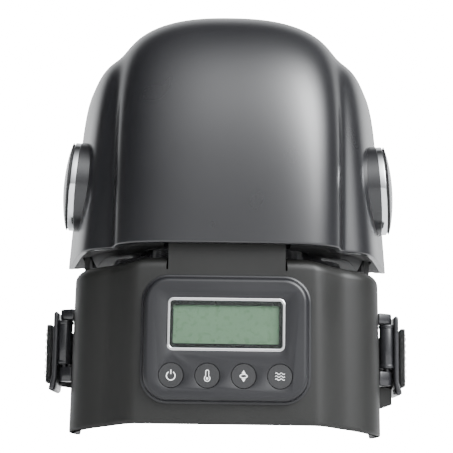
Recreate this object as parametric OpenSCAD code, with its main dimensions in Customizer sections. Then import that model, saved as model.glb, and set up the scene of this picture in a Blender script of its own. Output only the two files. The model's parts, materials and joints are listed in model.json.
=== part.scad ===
// Wearable knee massager with heat, air pressure and vibration.
// A dome covers the bent knee and turns on two side pivots. Below it, a curved shell stands
// in front of the shin and carries the controls. A strap hooks on at both sides, behind the calf.
// Millimetres. +X is to the right of someone who reads the controls, +Y points to the back of
// the leg and +Z is up. The origin is under the middle of the object, on the ground.

/* [Dome] */
// Height of the dome's rim
rim_z = 108; // [106:1:110]
// Where the dome's rear opening lies
rear_y = 25; // [23:1:27]
// Half width of the raised middle band
band_half = 68.2; // [65:0.2:70]
// From the rear opening to the front of the band
band_depth = 105; // [103:1:107]
// From the rim to the top of the band
band_height = 159.7; // [150:0.1:162]
// Half width of the side parts at the rear corner of the rim
flank_half = 103; // [101:1:105]
// From the rear opening to the front of the side parts
flank_depth = 77.2; // [74:0.1:80]
// From the rim to the top of the side parts
flank_height = 133.6; // [125:0.1:136]
// Wall thickness of the dome
dome_wall = 3; // [2.4:0.1:3.2]

/* [Shin shell] */
// Where the shell's rear edges lie
shell_rear_y = 28; // [24:1:30]
// From the rear edges to the front face
shell_depth = 101; // [99:1:102]
// Half width of the front part, out to the middle of its soft step
front_half = 60.5; // [59:0.5:62]
// Half width over the side parts, at the top
shell_half = 93; // [92:0.5:93.5]
// Height of the top edge at the front
shell_top = 101; // [98:1:102]
// Height of the concave lower edge at the front
arch_z = 4.7; // [2:0.1:8]
// Wall thickness of the shell
shell_wall = 3; // [2.4:0.1:3.2]

/* [Controls] */
// Width of the control bezel
bezel_w = 97.7; // [92:0.1:99]
// Height of the control bezel
bezel_h = 74; // [70:1:76]
// Corner radius of the control bezel
bezel_r = 16; // [10:1:18]
// Width of the display frame
display_w = 67.2; // [60:0.1:70]
// Height of the display frame
display_h = 30.3; // [26:0.1:32]
// Diameter of a button
button_d = 13.7; // [10:0.1:14]
// Distance between buttons
button_pitch = 20.6; // [18:0.1:21]

/* [Pivot and strap] */
// Diameter of the bright ring at each pivot
disc_d = 56; // [50:1:57]
// Diameter of the pivot pin
pin_d = 10; // [8:0.5:10]
// Height of the strap
strap_h = 36.3; // [30:0.1:38]
// Rearmost point of the strap
strap_back = 80; // [76:1:84]

/* [Hidden] */
$fn = 48;

// Exponents of the rounded outlines of the dome and the shell, and how sharply two lobes meet
valley_sharpness = 45;
band_round = [4.1, 2.08];
band_flat = [0.58, 0.8];
band_bend = 2.91;
flank_round = 8.56;
flank_bend = 4;
flank_draft = [0.22, 0.074];
side_round = 5.5;
pole = 89.4;

// Directions of the grid's columns, closest together where the band meets the side parts
columns = [6, 12, 18, 23, 27, 30.5, 33.5, 36.5, 39.5, 42.5, 45.5, 49, 53, 58, 64, 71, 78, 84];
sweep = concat([-pole], [for (i = [len(columns) - 1:-1:0]) -columns[i]], [0], columns, [pole]);
rise = [for (i = [0:20]) i * 4.5];

// Insets of the dome's liner: at the sides, in front and on top
liner_inset = [17.5, 21, 20];
liner_wall = 1.6;
// Half width, depth and height of the hollow that holds the knee, and how square it is
knee_cup = [62, 66, 122];
cup_round = 2.6;

// Half width and depth of the hollow in front of the shin
shin_cup = [70, 64];

// Insets of the shin liner: at the sides and in front
shin_inset = [9, 24];
shin_liner_wall = 2;

// Depth and width of the soft step between the shell's front and its side parts
front_step = 8.5;
step_w = 20;

// Front face of the shell and of the controls
face_y = shell_rear_y - shell_depth;
bezel_front = face_y - 6;
bezel_z = 53;
plate_t = 2.2;
display_z = 61;
button_z = 31.8;
button_gap = 0.35;

// Pivot axis and the plane of the side discs
pivot_y = -5;
pivot_z = 154.8;
disc_x = 98.65;
disc_tilt = 4;
disc_yaw = 3;
disc_r = disc_d / 2;
hub_r = 22;
pin_r = pin_d / 2;
arm_x = 83;
arm_t = 3;
arm_hub_r = 11;

// Vertical bar that the strap's buckle hooks round, and the heights of buckle and strap
bar_x = 98.6;
bar_y = -16;
bar_r = 2;
nose_r = 4.6;
bracket_z = [31.2, 39.8, 68.7, 75.2];
strap_z = 30.6;
strap_t = 4.6;
strap_x = 106.5;

black = [0.13, 0.13, 0.14];
charcoal = [0.24, 0.24, 0.235];
cloth = [0.18, 0.18, 0.19];

function power(base, exponent) = base <= 0 ? 0 : pow(base, exponent);
function mix(a, b, t) = a + (b - a) * t;
function ease(t) = let (c = min(1, max(0, t))) c * c * (3 - 2 * c);

// A lobe is a rounded box seen from its centre: this is 1 on its surface, at a distance r
function lobe_value(r, side, reach, half, taper, flat, n) =
    power(r * side / max(1, half - taper * r), n) + power((r * reach - flat) / (1 - flat), n);

// Distance to a lobe's surface, by halving the interval
function lobe_radius(side, reach, half, taper, flat, n, low = 0, high = 260, steps = 20) =
    let (middle = (low + high) / 2)
    steps == 0 ? middle :
    lobe_value(middle, side, reach, half, taper, flat, n) > 1
        ? lobe_radius(side, reach, half, taper, flat, n, low, middle, steps - 1)
        : lobe_radius(side, reach, half, taper, flat, n, middle, high, steps - 1);

// Two lobes joined by a soft valley
function join_lobes(a, b) =
    max(a, b) * pow(1 + pow(min(a, b) / max(a, b), valley_sharpness), 1 / valley_sharpness);

function superellipse(a, b, n) = pow(power(a, n) + power(b, n), 1 / n);

// Point on the dome: turn goes round from left to right, lift goes from the front up to the rear
function dome_point(turn, lift, inset = [0, 0, 0]) =
    let (side = abs(sin(turn)),
         fore = cos(turn) * cos(lift),
         up = cos(turn) * sin(lift),
         depth = band_depth - inset[1],
         height = band_height - inset[2],
         upness = pow(sin(lift), 2) / (pow(sin(lift), 2) + pow(cos(lift) * height / depth, 2)),
         band = lobe_radius(side, superellipse(fore / depth, up / height, band_bend),
                            band_half - inset[0], 0,
                            mix(band_flat[0], band_flat[1], upness),
                            mix(band_round[0], band_round[1], upness)),
         flank = lobe_radius(side,
                             superellipse(fore / (flank_depth - inset[1]),
                                          up / (flank_height - inset[2]), flank_bend),
                             flank_half - inset[0],
                             flank_draft[0] * fore + flank_draft[1] * up, 0, flank_round),
         r = join_lobes(band, flank))
    [r * sin(turn), rear_y - r * fore, rim_z + r * up];

// Point on the hollow that holds the knee, seen from the same centre as the dome
function cup_point(turn, lift) =
    let (side = abs(sin(turn)) / knee_cup[0],
         fore = cos(turn) * cos(lift) / knee_cup[1],
         up = cos(turn) * sin(lift) / knee_cup[2],
         r = 1 / superellipse(side, superellipse(fore, up, cup_round), cup_round))
    [r * sin(turn), rear_y - r * cos(turn) * cos(lift), rim_z + r * cos(turn) * sin(lift)];

// Grid of points on the dome
function dome_grid(turns, lifts, inset) =
    [for (turn = turns) [for (lift = lifts) dome_point(turn, lift, inset)]];
function even(t) = [t, t, t];
function liner_depth(t) = liner_inset + even(t);

// How far the shell reaches forwards at a distance x from the middle
function shell_reach(x, inset) =
    (shell_depth - front_step - inset[1])
        * power(1 - power(x / (shell_half - inset[0]), side_round), 1 / side_round)
    + front_step * (1 - ease((x + inset[0] - front_half) / step_w + 0.5));

// Distance to the shell's outline, by halving the interval
function shell_radius(side, fore, inset, low = 0, high = 160, steps = 20) =
    let (middle = (low + high) / 2)
    steps == 0 ? middle :
    middle * fore > shell_reach(middle * side, inset) || middle * side > shell_half - inset[0]
        ? shell_radius(side, fore, inset, low, middle, steps - 1)
        : shell_radius(side, fore, inset, middle, high, steps - 1);

// Point of the shell's outline, seen from above
function shell_outline(turn, inset = [0, 0]) =
    let (r = shell_radius(abs(sin(turn)), cos(turn), inset))
    [r * sin(turn), shell_rear_y - r * cos(turn)];

// The shell's top edge falls towards the sides. Its lower edge arches in front, and its rear
// corners are cut
top_fall = 4;
corner_rise = 3;
function top_edge(turn) = shell_top - top_fall * ease((abs(turn) - 21) / 25);
function low_edge(turn) =
    arch_z * (1 - ease((abs(turn) - 27) / 30)) + corner_rise * ease((abs(turn) - 84) / 5);
flare = 1.3;
roll_r = 7;

// Column of points up the shell's wall, with the top rolled inwards
function shell_column(turn, depth) =
    let (roll = roll_r - depth, foot = low_edge(turn), shoulder = top_edge(turn) - roll_r)
    concat(
        [for (k = [0:3])
            let (z = mix(foot, shoulder, k / 3),
                 inset = depth - flare * (1 - z / shell_top),
                 p = shell_outline(turn, [inset, depth]))
            [p[0], p[1], z]],
        [for (a = [18:18:90])
            let (z = shoulder + roll * sin(a),
                 inset = roll_r - roll * cos(a),
                 p = shell_outline(turn, [inset - flare * (1 - z / shell_top), inset]))
            [p[0], p[1], z]]);

// Upright wall that follows the shell's outline
function wall_grid(turns, heights, inset) =
    [for (turn = turns) [for (z = heights) let (p = shell_outline(turn, inset)) [p[0], p[1], z]]];

// Closed solid between two grids of points, which have the same rows and columns
module slab(outer, inner) {
    rows = len(outer);
    last = rows - 1;
    width = len(outer[0]);
    top = width - 1;
    size = rows * width;
    points = concat([for (row = outer) each row], [for (row = inner) each row]);
    skin = [for (i = [0:last - 1], j = [0:top - 1])
        let (a = i * width + j, b = a + 1, c = a + width + 1, d = a + width)
        each [[a, b, c, d], [size + a, size + d, size + c, size + b]]];
    ends = [for (i = [0:last - 1])
        let (a = i * width, d = a + width, b = a + top, c = d + top)
        each [[a, d, size + d, size + a], [c, b, size + b, size + c]]];
    edges = [for (j = [0:top - 1])
        let (a = j, b = j + 1, c = last * width + j + 1, d = last * width + j)
        each [[b, a, size + a, size + b], [d, c, size + c, size + d]]];
    triangles = [for (q = concat(skin, ends, edges)) each [[q[0], q[1], q[2]], [q[0], q[2], q[3]]]];
    polyhedron(points = points, faces = triangles, convexity = 6);
}

// Rectangle with round corners, centred, as an outline
function round_rect(w, h, r, n = 8) =
    [for (corner = [0:3], k = [0:n])
        let (a = corner * 90 + 90 * k / n,
             cx = (corner == 0 || corner == 3 ? 1 : -1) * (w / 2 - r),
             cz = (corner < 2 ? 1 : -1) * (h / 2 - r))
        [cx + r * cos(a), cz + r * sin(a)]];

// Upright plate with round corners, centred on x and z, from y0 back to y1
module face_plate(w, h, r, z, y0, y1) {
    translate([0, y1, z])
        rotate([90, 0, 0])
            linear_extrude(y1 - y0)
                polygon(round_rect(w, h, r));
}

// Cylinder along Y from y0 back to y1
module rod_y(x, z, r, y0, y1) {
    translate([x, y1, z])
        rotate([90, 0, 0])
            cylinder(r = r, h = y1 - y0);
}

// Cylinder along X from x0 to x1 on the pivot axis
module rod_x(r, x0, x1) {
    translate([x0, pivot_y, pivot_z])
        rotate([0, 90, 0])
            cylinder(r = r, h = x1 - x0);
}

module box(low, high) {
    translate(low)
        cube(high - low);
}

// Draws its children on the right as they are, or mirrored on the left
module on_side(side) {
    scale_x = side < 0 ? 1 : 0;
    mirror([scale_x, 0, 0])
        children();
}

// Places its children on the right-hand disc's plane, with the disc's axis along Z
module on_disc() {
    translate([disc_x, pivot_y, pivot_z])
        rotate([0, 0, -disc_yaw])
            rotate([0, 90 - disc_tilt, 0])
                children();
}

// ---- dome ----

boss_r = disc_r + 0.6;
boss_top = -3.6;
boss_slope = 0.26;

// Raised seat of a side disc, cut off inside the dome's wall
module disc_seat() {
    mid_wall = 91.4;
    difference() {
        on_disc()
            translate([0, 0, boss_top - 16])
                cylinder(r1 = boss_r + 1.6, r2 = boss_r, h = 16);
        translate([mid_wall, pivot_y, pivot_z])
            rotate([0, 0, -atan(boss_slope)])
                rotate([0, -disc_tilt, 0])
                    translate([-60, -70, -70])
                        cube([60, 140, 140]);
    }
}

module dome_shell() {
    color(black)
        difference() {
            union() {
                slab(dome_grid(sweep, rise, even(0)), dome_grid(sweep, rise, even(dome_wall)));
                on_side(1) disc_seat();
                on_side(-1) disc_seat();
            }
            for (side = [-1, 1])
                on_side(side)
                    on_disc()
                        union() {
                            translate([0, 0, -20])
                                cylinder(r = hub_r + 0.3, h = 30);
                            translate([0, 0, boss_top])
                                cylinder(r = disc_r + 0.2, h = 10);
                        }
        }
}

// Underside of the rim, from the wall to the liner, open for the tongue and for the side arms
module rim_flange() {
    flange_t = 2;
    outer = [for (turn = sweep) let (p = dome_point(turn, 0, even(dome_wall + 0.3))) [p[0], p[1]]];
    inner = [for (turn = sweep) let (p = dome_point(turn, 0, liner_depth(0.8))) [p[0], p[1]]];
    difference() {
        translate([0, 0, rim_z + 0.2])
            linear_extrude(flange_t)
                polygon(concat(outer, [for (i = [len(inner) - 1:-1:0]) inner[i]]));
        box([-37, -90, rim_z - 1], [37, -59.3, rim_z + 4]);
        box([-120, rear_y - 2.5, rim_z - 1], [120, 40, rim_z + 4]);
        for (side = [-1, 1])
            on_side(side)
                box([arm_x + arm_step - 1.4, -18, rim_z - 1],
                    [arm_x + arm_step + arm_t + 1.4, 18, rim_z + 4]);
    }
}

module dome_liner() {
    color(charcoal)
        union() {
            slab(dome_grid(sweep, rise, liner_inset), dome_grid(sweep, rise, liner_depth(liner_wall)));
            rim_flange();
        }
}

// Trim that closes the gap between wall and liner at the rear opening
module rear_trim() {
    trim_t = 2;
    back = 90;
    outer = [for (turn = sweep) let (p = dome_point(turn, back, even(dome_wall + 0.9))) [p[0], p[2]]];
    inner = [for (turn = sweep) let (p = dome_point(turn, back, liner_depth(-0.4))) [p[0], p[2]]];
    color(black)
        translate([0, rear_y - 0.1, 0])
            rotate([90, 0, 0])
                linear_extrude(trim_t)
                    polygon(concat(outer, [for (i = [len(inner) - 1:-1:0]) inner[i]]));
}

// Piece that follows the inside of the liner, between two depths
module lining(turns, lifts, near, far) {
    slab(dome_grid(turns, lifts, liner_depth(near)), dome_grid(turns, lifts, liner_depth(far)));
}

// Pad from a depth inside the liner to the smooth hollow that holds the knee
module cup_pad(turns, lifts, near) {
    slab(dome_grid(turns, lifts, liner_depth(near)),
         [for (turn = turns) [for (lift = lifts) cup_point(turn, lift)]]);
}

pad_turns = [for (turn = sweep) if (abs(turn) < 40) turn];
pad_lifts = [for (lift = rise) if (lift > 8 && lift < 82) lift];
side_turns = [50, 56, 62, 68, 74, 80];
side_lifts = [for (k = [0:6]) 8 + k * 12.5];

module knee_pad() {
    color(cloth) cup_pad(pad_turns, pad_lifts, 3.4);
}

module heating_film() {
    color("peru") lining(pad_turns, pad_lifts, 2.1, 2.8);
}

module side_pad(side) {
    color(cloth) on_side(side) cup_pad(side_turns, side_lifts, 6);
}

module air_bag(side) {
    bag_turns = [54, 60, 66, 72, 77];
    bag_lifts = [for (k = [0:4]) 14 + k * 15];
    color("dimgray") on_side(side) lining(bag_turns, bag_lifts, 2.2, 5.2);
}

// Vibration motors stand in the side parts, between wall and liner
motor_x = 80.6;
motor_y = 2;
motor_z = 184;
motor_r = 5;
motor_l = 16;

module vibration_motor(side) {
    color("silver")
        on_side(side)
            translate([motor_x, motor_y, motor_z])
                cylinder(r = motor_r, h = motor_l);
}

module motor_clamp(side) {
    color(black)
        on_side(side)
            translate([motor_x, motor_y, motor_z + 4])
                difference() {
                    cylinder(r = motor_r + 0.45, h = 7);
                    translate([0, 0, -1])
                        cylinder(r = motor_r + 0.05, h = 9);
                    translate([0, -2, -1])
                        cube([9, 4, 9]);
                }
}

// Shaft with its half-round weight
module motor_weight(side) {
    weight_r = 4;
    color("goldenrod")
        on_side(side)
            translate([motor_x, motor_y, motor_z + motor_l + 0.3])
                union() {
                    cylinder(r = 0.75, h = 6.5);
                    translate([0, 0, 1])
                        difference() {
                            cylinder(r = weight_r, h = 5);
                            translate([-weight_r - 1, 0.9, -1])
                                cube([2 * weight_r + 2, weight_r + 1, 7]);
                        }
                }
}

// Air pump and valve in the front of the dome, in line with each other
pump_y = -59.4;
pump_z = 198;
module air_pump() {
    pump_r = 7.2;
    color("gainsboro")
        translate([-34, pump_y, pump_z])
            rotate([0, 90, 0])
                union() {
                    cylinder(r = pump_r, h = 30);
                    translate([0, 0, 29])
                        cylinder(r = 4.5, h = 9);
                    translate([0, 0, 37])
                        cylinder(r = 1.6, h = 6);
                }
}

module air_valve() {
    color("slategray")
        difference() {
            box([8.5, pump_y - 5, pump_z - 5.5], [24, pump_y + 5, pump_z + 5.5]);
            translate([8, pump_y, pump_z])
                rotate([0, 90, 0])
                    cylinder(r = 1.65, h = 4);
        }
}

// ---- pivots ----

module pivot_ring(side) {
    edge = 0.8;
    color("lightgray")
        on_side(side)
            on_disc()
                rotate_extrude()
                    polygon([[hub_r + 0.4, boss_top + 0.05], [disc_r, boss_top + 0.05], [disc_r, -edge],
                             [disc_r - edge, 0], [hub_r + 0.4, 0]]);
}

module pivot_hub(side) {
    color(black)
        on_side(side)
            difference() {
                on_disc()
                    union() {
                        translate([0, 0, -9])
                            cylinder(r = hub_r, h = 9.2);
                        translate([0, 0, 0.1])
                            cylinder(r = disc_r - 1.4, h = 1);
                    }
                rod_x(pin_r + 0.1, 80, 94);
            }
}

// Low domed cap over the hub
module pivot_cap(side) {
    cap_r = disc_r - 0.2;
    rim_h = 0.9;
    crown = 2.7;
    color("dimgray")
        on_side(side)
            on_disc()
                translate([0, 0, 1.15])
                    rotate_extrude()
                        polygon(concat([[0, 0], [cap_r, 0]],
                                       [for (k = [0:8])
                                           let (u = 1 - k / 8)
                                           [cap_r * u, rim_h + crown * (1 - u * u)]]));
}

// Pin fixed in the hub, with a head inside the arm
module pivot_pin(side) {
    color("silver")
        on_side(side)
            union() {
                rod_x(pin_r, arm_x - 0.5, 93.5);
                rod_x(pin_r + 3, arm_x - 1.9, arm_x - 0.4);
            }
}

// Flanged bush in the arm, in which the pin turns
module pivot_bush(side) {
    color("ivory")
        on_side(side)
            difference() {
                union() {
                    rod_x(pin_r + 1.9, arm_x, arm_x + arm_t + 0.5);
                    rod_x(pin_r + 3.9, arm_x + arm_t + 0.1, arm_x + arm_t + 0.8);
                }
                rod_x(pin_r + 0.05, arm_x - 1, arm_x + arm_t + 2);
            }
}

// Arm from the inside of the shin shell up to the pivot, set inwards at the top
arm_low = 62;
arm_half = 9;
arm_step = 2.2;
screw_z = [68, 82];

module side_arm(side) {
    low_x = arm_x + arm_step;
    color(black)
        on_side(side)
            difference() {
                intersection() {
                    union() {
                        rod_x(arm_hub_r, arm_x - 2, arm_x + 8);
                        box([arm_x - 2, pivot_y - arm_half, arm_low], [arm_x + 8, pivot_y + arm_half, pivot_z]);
                    }
                    translate([0, 40, 0])
                        rotate([90, 0, 0])
                            linear_extrude(80)
                                polygon([[low_x, arm_low - 1], [low_x + arm_t, arm_low - 1],
                                         [low_x + arm_t, 122], [arm_x + arm_t, 140],
                                         [arm_x + arm_t, 170], [arm_x, 170], [arm_x, 139.6], [low_x, 121.6]]);
                }
                rod_x(pin_r + 2, arm_x - 3, arm_x + 9);
                for (z = screw_z)
                    translate([arm_x - 3, pivot_y, z])
                        rotate([0, 90, 0])
                            cylinder(r = 1.8, h = 12);
            }
}

// ---- shin shell ----

tongue_w = 67.8;
slit_w = 1.2;
slit_end = 93.4;
tongue_top = 130;

// Bosses on the inside of the shell's wall, to which the arms are screwed
module arm_bosses() {
    seat_x = arm_x + arm_step + arm_t + 0.1;
    for (side = [-1, 1], z = screw_z)
        on_side(side)
            translate([seat_x, pivot_y, z])
                rotate([0, 90, 0])
                    difference() {
                        cylinder(r = 4.2, h = 91.5 - seat_x);
                        translate([0, 0, -1])
                            cylinder(r = 1.7, h = 3.4);
                    }
}

module shin_shell() {
    color(charcoal)
        difference() {
            union() {
                slab([for (turn = sweep) shell_column(turn, 0)],
                     [for (turn = sweep) shell_column(turn, shell_wall)]);
                arm_bosses();
            }
            box([-tongue_w / 2 - slit_w, face_y - 5, slit_end],
                [tongue_w / 2 + slit_w, face_y + 20, shell_top + 5]);
            face_plate(bezel_w - 8, bezel_h - 8, bezel_r - 4, bezel_z, face_y - 5, face_y + 8);
            for (side = [-1, 1])
                on_side(side)
                    box([arm_x + arm_step - 4, pivot_y - arm_half - 0.4, shell_top - 16],
                        [arm_x + arm_step + arm_t + 0.4, pivot_y + arm_half + 0.4, shell_top + 2]);
        }
}

// Tongue that runs up under the dome's rim, with a tab behind the shell's wall
module shin_tongue() {
    tongue_t = 4;
    tab_low = 91.5;
    color(charcoal)
        difference() {
            union() {
                face_plate(tongue_w, tongue_top - slit_end - 0.2, 3,
                           (tongue_top + slit_end + 0.2) / 2, face_y, face_y + tongue_t);
                box([-tongue_w / 2 + 1, face_y + shell_wall + 0.4, tab_low],
                    [tongue_w / 2 - 1, face_y + shell_wall + 2.6, 104]);
            }
            box([-60, face_y - 1, 60], [60, face_y + tongue_t, slit_end + 0.1]);
            box([-tongue_w, face_y + tongue_t - 0.8, tongue_top - 12],
                [tongue_w, face_y + tongue_t + 1, tongue_top + 1]);
        }
}

front_turns = [for (turn = sweep) if (abs(turn) < 44) turn];
liner_heights = [8, 30, 52, 74, 94];

// Flat ring between two insets of the shell's outline
module cavity_ring(turns, near, far, z, t) {
    outer = [for (turn = turns) shell_outline(turn, near)];
    inner = [for (turn = turns) shell_outline(turn, far)];
    translate([0, 0, z])
        linear_extrude(t)
            polygon(concat(outer, [for (i = [len(inner) - 1:-1:0]) inner[i]]));
}

module shin_liner() {
    color(charcoal)
        slab(wall_grid(sweep, liner_heights, shin_inset),
             wall_grid(sweep, liner_heights, shin_inset + [shin_liner_wall, shin_liner_wall]));
}

// Covers that close the space between shell and liner, below and at the top in front
cover_t = 2;
cover_gap = shin_inset - [0.3, 0.3];

module bottom_cover() {
    color(charcoal)
        cavity_ring(sweep, [shell_wall + 0.4, shell_wall + 0.4], cover_gap, 8.5, cover_t);
}

module top_cover() {
    color(charcoal)
        cavity_ring(front_turns, [8.2, 9], cover_gap, 91.5, cover_t);
}

// Point of the outline of the hollow in front of the shin
function shin_cup_point(turn) =
    let (r = 1 / superellipse(abs(sin(turn)) / shin_cup[0], cos(turn) / shin_cup[1], cup_round))
    [r * sin(turn), shell_rear_y - r * cos(turn)];

module shin_pad() {
    turns = [-74, -64, -54, -46, -39, -32, -22, -11, 0, 11, 22, 32, 39, 46, 54, 64, 74];
    heights = [13, 32, 51, 70, 89];
    color(cloth)
        slab(wall_grid(turns, heights, [12, 27]),
             [for (turn = turns) [for (z = heights) let (p = shin_cup_point(turn)) [p[0], p[1], z]]]);
}

// Soft collar that runs from the shin pad up inside the dome's liner and closes the gap between them
function collar_column(turn, t) =
    let (foot = shell_outline(turn, [12.5 + t, 27.5 + t]),
         head = dome_point(turn, 0, liner_depth(5.2 + t)),
         top = mix(112, 104, ease((abs(turn) - 54) / 12)))
    concat([for (z = [89.6, 95]) [foot[0], foot[1], z]],
           [for (z = [mix(95, top, 0.6), top]) [head[0], head[1], z]]);

module shin_collar() {
    collar_t = 3;
    turns = [for (turn = sweep) if (abs(turn) < 79) turn];
    color(cloth)
        slab([for (turn = turns) collar_column(turn, 0)], [for (turn = turns) collar_column(turn, collar_t)]);
}

// ---- controls ----

module control_bezel() {
    color([0.28, 0.28, 0.3])
        difference() {
            union() {
                face_plate(bezel_w, bezel_h, bezel_r, bezel_z, bezel_front, face_y - 0.15);
                face_plate(bezel_w - 8.6, bezel_h - 8.6, bezel_r - 4.3, bezel_z, face_y - 1, face_y + 2.6);
            }
            face_plate(bezel_w - 12, bezel_h - 12, bezel_r - 6, bezel_z, bezel_front + plate_t, face_y + 5);
            face_plate(display_w + 0.2, display_h + 0.2, 3.6, display_z, bezel_front - 1, face_y);
            for (k = [-1.5:1:1.5])
                rod_y(k * button_pitch, button_z, button_d / 2 + button_gap, bezel_front - 1, face_y);
        }
}

module display_frame() {
    line_w = 1.6;
    color("whitesmoke")
        difference() {
            face_plate(display_w, display_h, 3.5, display_z, bezel_front - 0.3, bezel_front + 2.1);
            face_plate(display_w - 2 * line_w, display_h - 2 * line_w, 1.9, display_z,
                       bezel_front - 1, bezel_front + 3);
        }
}

lcd_w = 60.5;
lcd_h = 22;

module display_mask() {
    color("black")
        difference() {
            face_plate(display_w - 3.4, display_h - 3.4, 1.8, display_z, bezel_front + 0.9, bezel_front + 2);
            face_plate(lcd_w, lcd_h, 0.6, display_z, bezel_front, bezel_front + 3);
        }
}

module display_window() {
    color([0.7, 0.8, 0.75, 0.3])
        face_plate(display_w - 3.4, display_h - 3.4, 1.8, display_z, bezel_front + 0.2, bezel_front + 0.8);
}

module lcd_panel() {
    color([0.42, 0.52, 0.42])
        face_plate(lcd_w + 4, lcd_h + 5, 1, display_z, bezel_front + 2.2, bezel_front + 4.6);
}

// Button with a flange that keeps it behind the bezel, and a plunger towards its switch
module button(index) {
    x = (index - 1.5) * button_pitch;
    flange_y = bezel_front + plate_t + 0.4;
    color("black")
        union() {
            rod_y(x, button_z, button_d / 2, bezel_front - 0.3, flange_y + 0.5);
            rod_y(x, button_z, button_d / 2 + 1.3, flange_y, flange_y + 0.9);
            rod_y(x, button_z, 1.5, flange_y + 0.5, face_y + 0.4);
        }
}

board_y = face_y + 5;

module switches() {
    color("gray")
        for (k = [-1.5:1:1.5])
            translate([k * button_pitch - 3, board_y - 3.3, button_z - 3])
                cube([6, 3.25, 6]);
}

module control_board() {
    color("seagreen")
        union() {
            box([-42, board_y, 21], [42, board_y + 1.6, 84]);
            box([-30, board_y + 1.5, 56], [-14, board_y + 4, 72]);
            box([14, board_y + 1.5, 58], [24, board_y + 5, 70]);
        }
}

module battery_pack() {
    color("royalblue")
        face_plate(64, 34, 4, 36, face_y + 9, face_y + 20);
}

// Screws through the side arms into the shell, two on each side
module case_screws() {
    color("silver")
        for (side = [-1, 1], z = screw_z)
            on_side(side)
                translate([0, pivot_y, z])
                    rotate([0, 90, 0])
                        union() {
                            translate([0, 0, arm_x + arm_step - 0.9])
                                cylinder(r = 3.2, h = 0.85);
                            translate([0, 0, arm_x + arm_step - 0.1])
                                cylinder(r = 1.5, h = 4.2);
                        }
}

// Round-ended charging socket in its housing, low on the right
module charging_inlet() {
    inlet_y = 4;
    color(charcoal)
        difference() {
            translate([0, inlet_y, 0])
                rotate([90, 0, 0])
                    linear_extrude(18)
                        polygon([[94.1, 17.2], [101.8, 19.9], [101.8, 29.4], [94.1, 30.2]]);
            translate([98, inlet_y - 8, 24.6])
                rotate([-90, 0, 0])
                    difference() {
                        cylinder(r = 2.9, h = 10);
                        translate([0, 0, -1])
                            cylinder(r = 1, h = 9);
                    }
        }
}

// ---- strap ----

// C-shaped bracket on the shell's side, with an upright bar between its lugs
module strap_bracket(side) {
    seat_x = [93.95, 0, 93.47];
    color(black)
        on_side(side)
            union() {
                for (k = [0, 2]) {
                    box([seat_x[k], bar_y - 7, bracket_z[k]], [seat_x[k] + 1, bar_y + 7, bracket_z[k + 1]]);
                    box([seat_x[k] + 0.5, bar_y - 3, bracket_z[k]], [bar_x, bar_y + 3, bracket_z[k + 1]]);
                    translate([bar_x, bar_y, bracket_z[k]])
                        cylinder(r = 3, h = bracket_z[k + 1] - bracket_z[k]);
                }
                translate([bar_x, bar_y, bracket_z[1] - 1])
                    cylinder(r = bar_r, h = bracket_z[2] - bracket_z[1] + 2);
            }
}

plate_x = [102.2, 106.2];
plate_y = [-20, 14];
window_y = [-6, 8];

// Hook that clips round the bar, on a flat frame that holds the strap
module hook_buckle(side) {
    color([0.16, 0.16, 0.17])
        on_side(side)
            difference() {
                union() {
                    translate([bar_x, bar_y, bracket_z[1] + 1.8])
                        cylinder(r = nose_r, h = bracket_z[2] - bracket_z[1] - 2.1);
                    box([plate_x[0], plate_y[0], 26], [plate_x[1], plate_y[1], 73.6]);
                }
                translate([bar_x, bar_y, 20])
                    cylinder(r = bar_r + 0.05, h = 60);
                box([bar_x - 8, bar_y - 1, 20], [bar_x, bar_y + 1, 80]);
                box([plate_x[0] - 2, window_y[0], strap_z - 0.6],
                    [plate_x[1] + 2, window_y[1], strap_z + strap_h + 0.6]);
            }
}

// Webbing on the outside of the frame, folded through its window
module strap_end(side) {
    color("black")
        on_side(side)
            union() {
                box([strap_x, -12, strap_z], [strap_x + strap_t, 15, strap_z + strap_h]);
                box([plate_x[0] - 1.5, 2, strap_z], [strap_x + 1, 7.4, strap_z + strap_h]);
            }
}

// Band behind the calf: straight sides, then a rounded back
calf_front = 18;
calf_corner = 62;

function calf_outline(inset) =
    let (half = strap_x + strap_t - inset, back = strap_back - inset, r = calf_corner - inset)
    concat(
        [[half, calf_front]],
        [for (a = [0:7.5:90]) [half - r + r * cos(a), back - r + r * sin(a)]],
        [for (a = [90:7.5:180]) [-half + r + r * cos(a), back - r + r * sin(a)]],
        [[-half, calf_front]]);

module calf_strap() {
    inner = calf_outline(strap_t);
    color("black")
        translate([0, 0, strap_z])
            linear_extrude(strap_h)
                polygon(concat(calf_outline(0), [for (i = [len(inner) - 1:-1:0]) inner[i]]));
}

dome_shell();
dome_liner();
rear_trim();
knee_pad();
heating_film();
side_pad(-1);  // side_pad_left
side_pad(1);  // side_pad_right
air_bag(-1);  // air_bag_left
air_bag(1);  // air_bag_right
vibration_motor(-1);  // vibration_motor_left
vibration_motor(1);  // vibration_motor_right
motor_clamp(-1);  // motor_clamp_left
motor_clamp(1);  // motor_clamp_right
motor_weight(-1);  // motor_weight_left
motor_weight(1);  // motor_weight_right
air_pump();
air_valve();
pivot_ring(-1);  // pivot_ring_left
pivot_ring(1);  // pivot_ring_right
pivot_hub(-1);  // pivot_hub_left
pivot_hub(1);  // pivot_hub_right
pivot_cap(-1);  // pivot_cap_left
pivot_cap(1);  // pivot_cap_right
pivot_pin(-1);  // pivot_pin_left
pivot_pin(1);  // pivot_pin_right
pivot_bush(-1);  // pivot_bush_left
pivot_bush(1);  // pivot_bush_right
side_arm(-1);  // side_arm_left
side_arm(1);  // side_arm_right
shin_shell();
shin_tongue();
shin_liner();
bottom_cover();
top_cover();
shin_pad();
shin_collar();
control_bezel();
display_frame();
display_mask();
display_window();
lcd_panel();
button(0);  // button_power
button(1);  // button_heat
button(2);  // button_pressure
button(3);  // button_vibration
switches();
control_board();
battery_pack();
case_screws();
strap_bracket(-1);  // strap_bracket_left
strap_bracket(1);  // strap_bracket_right
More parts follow.
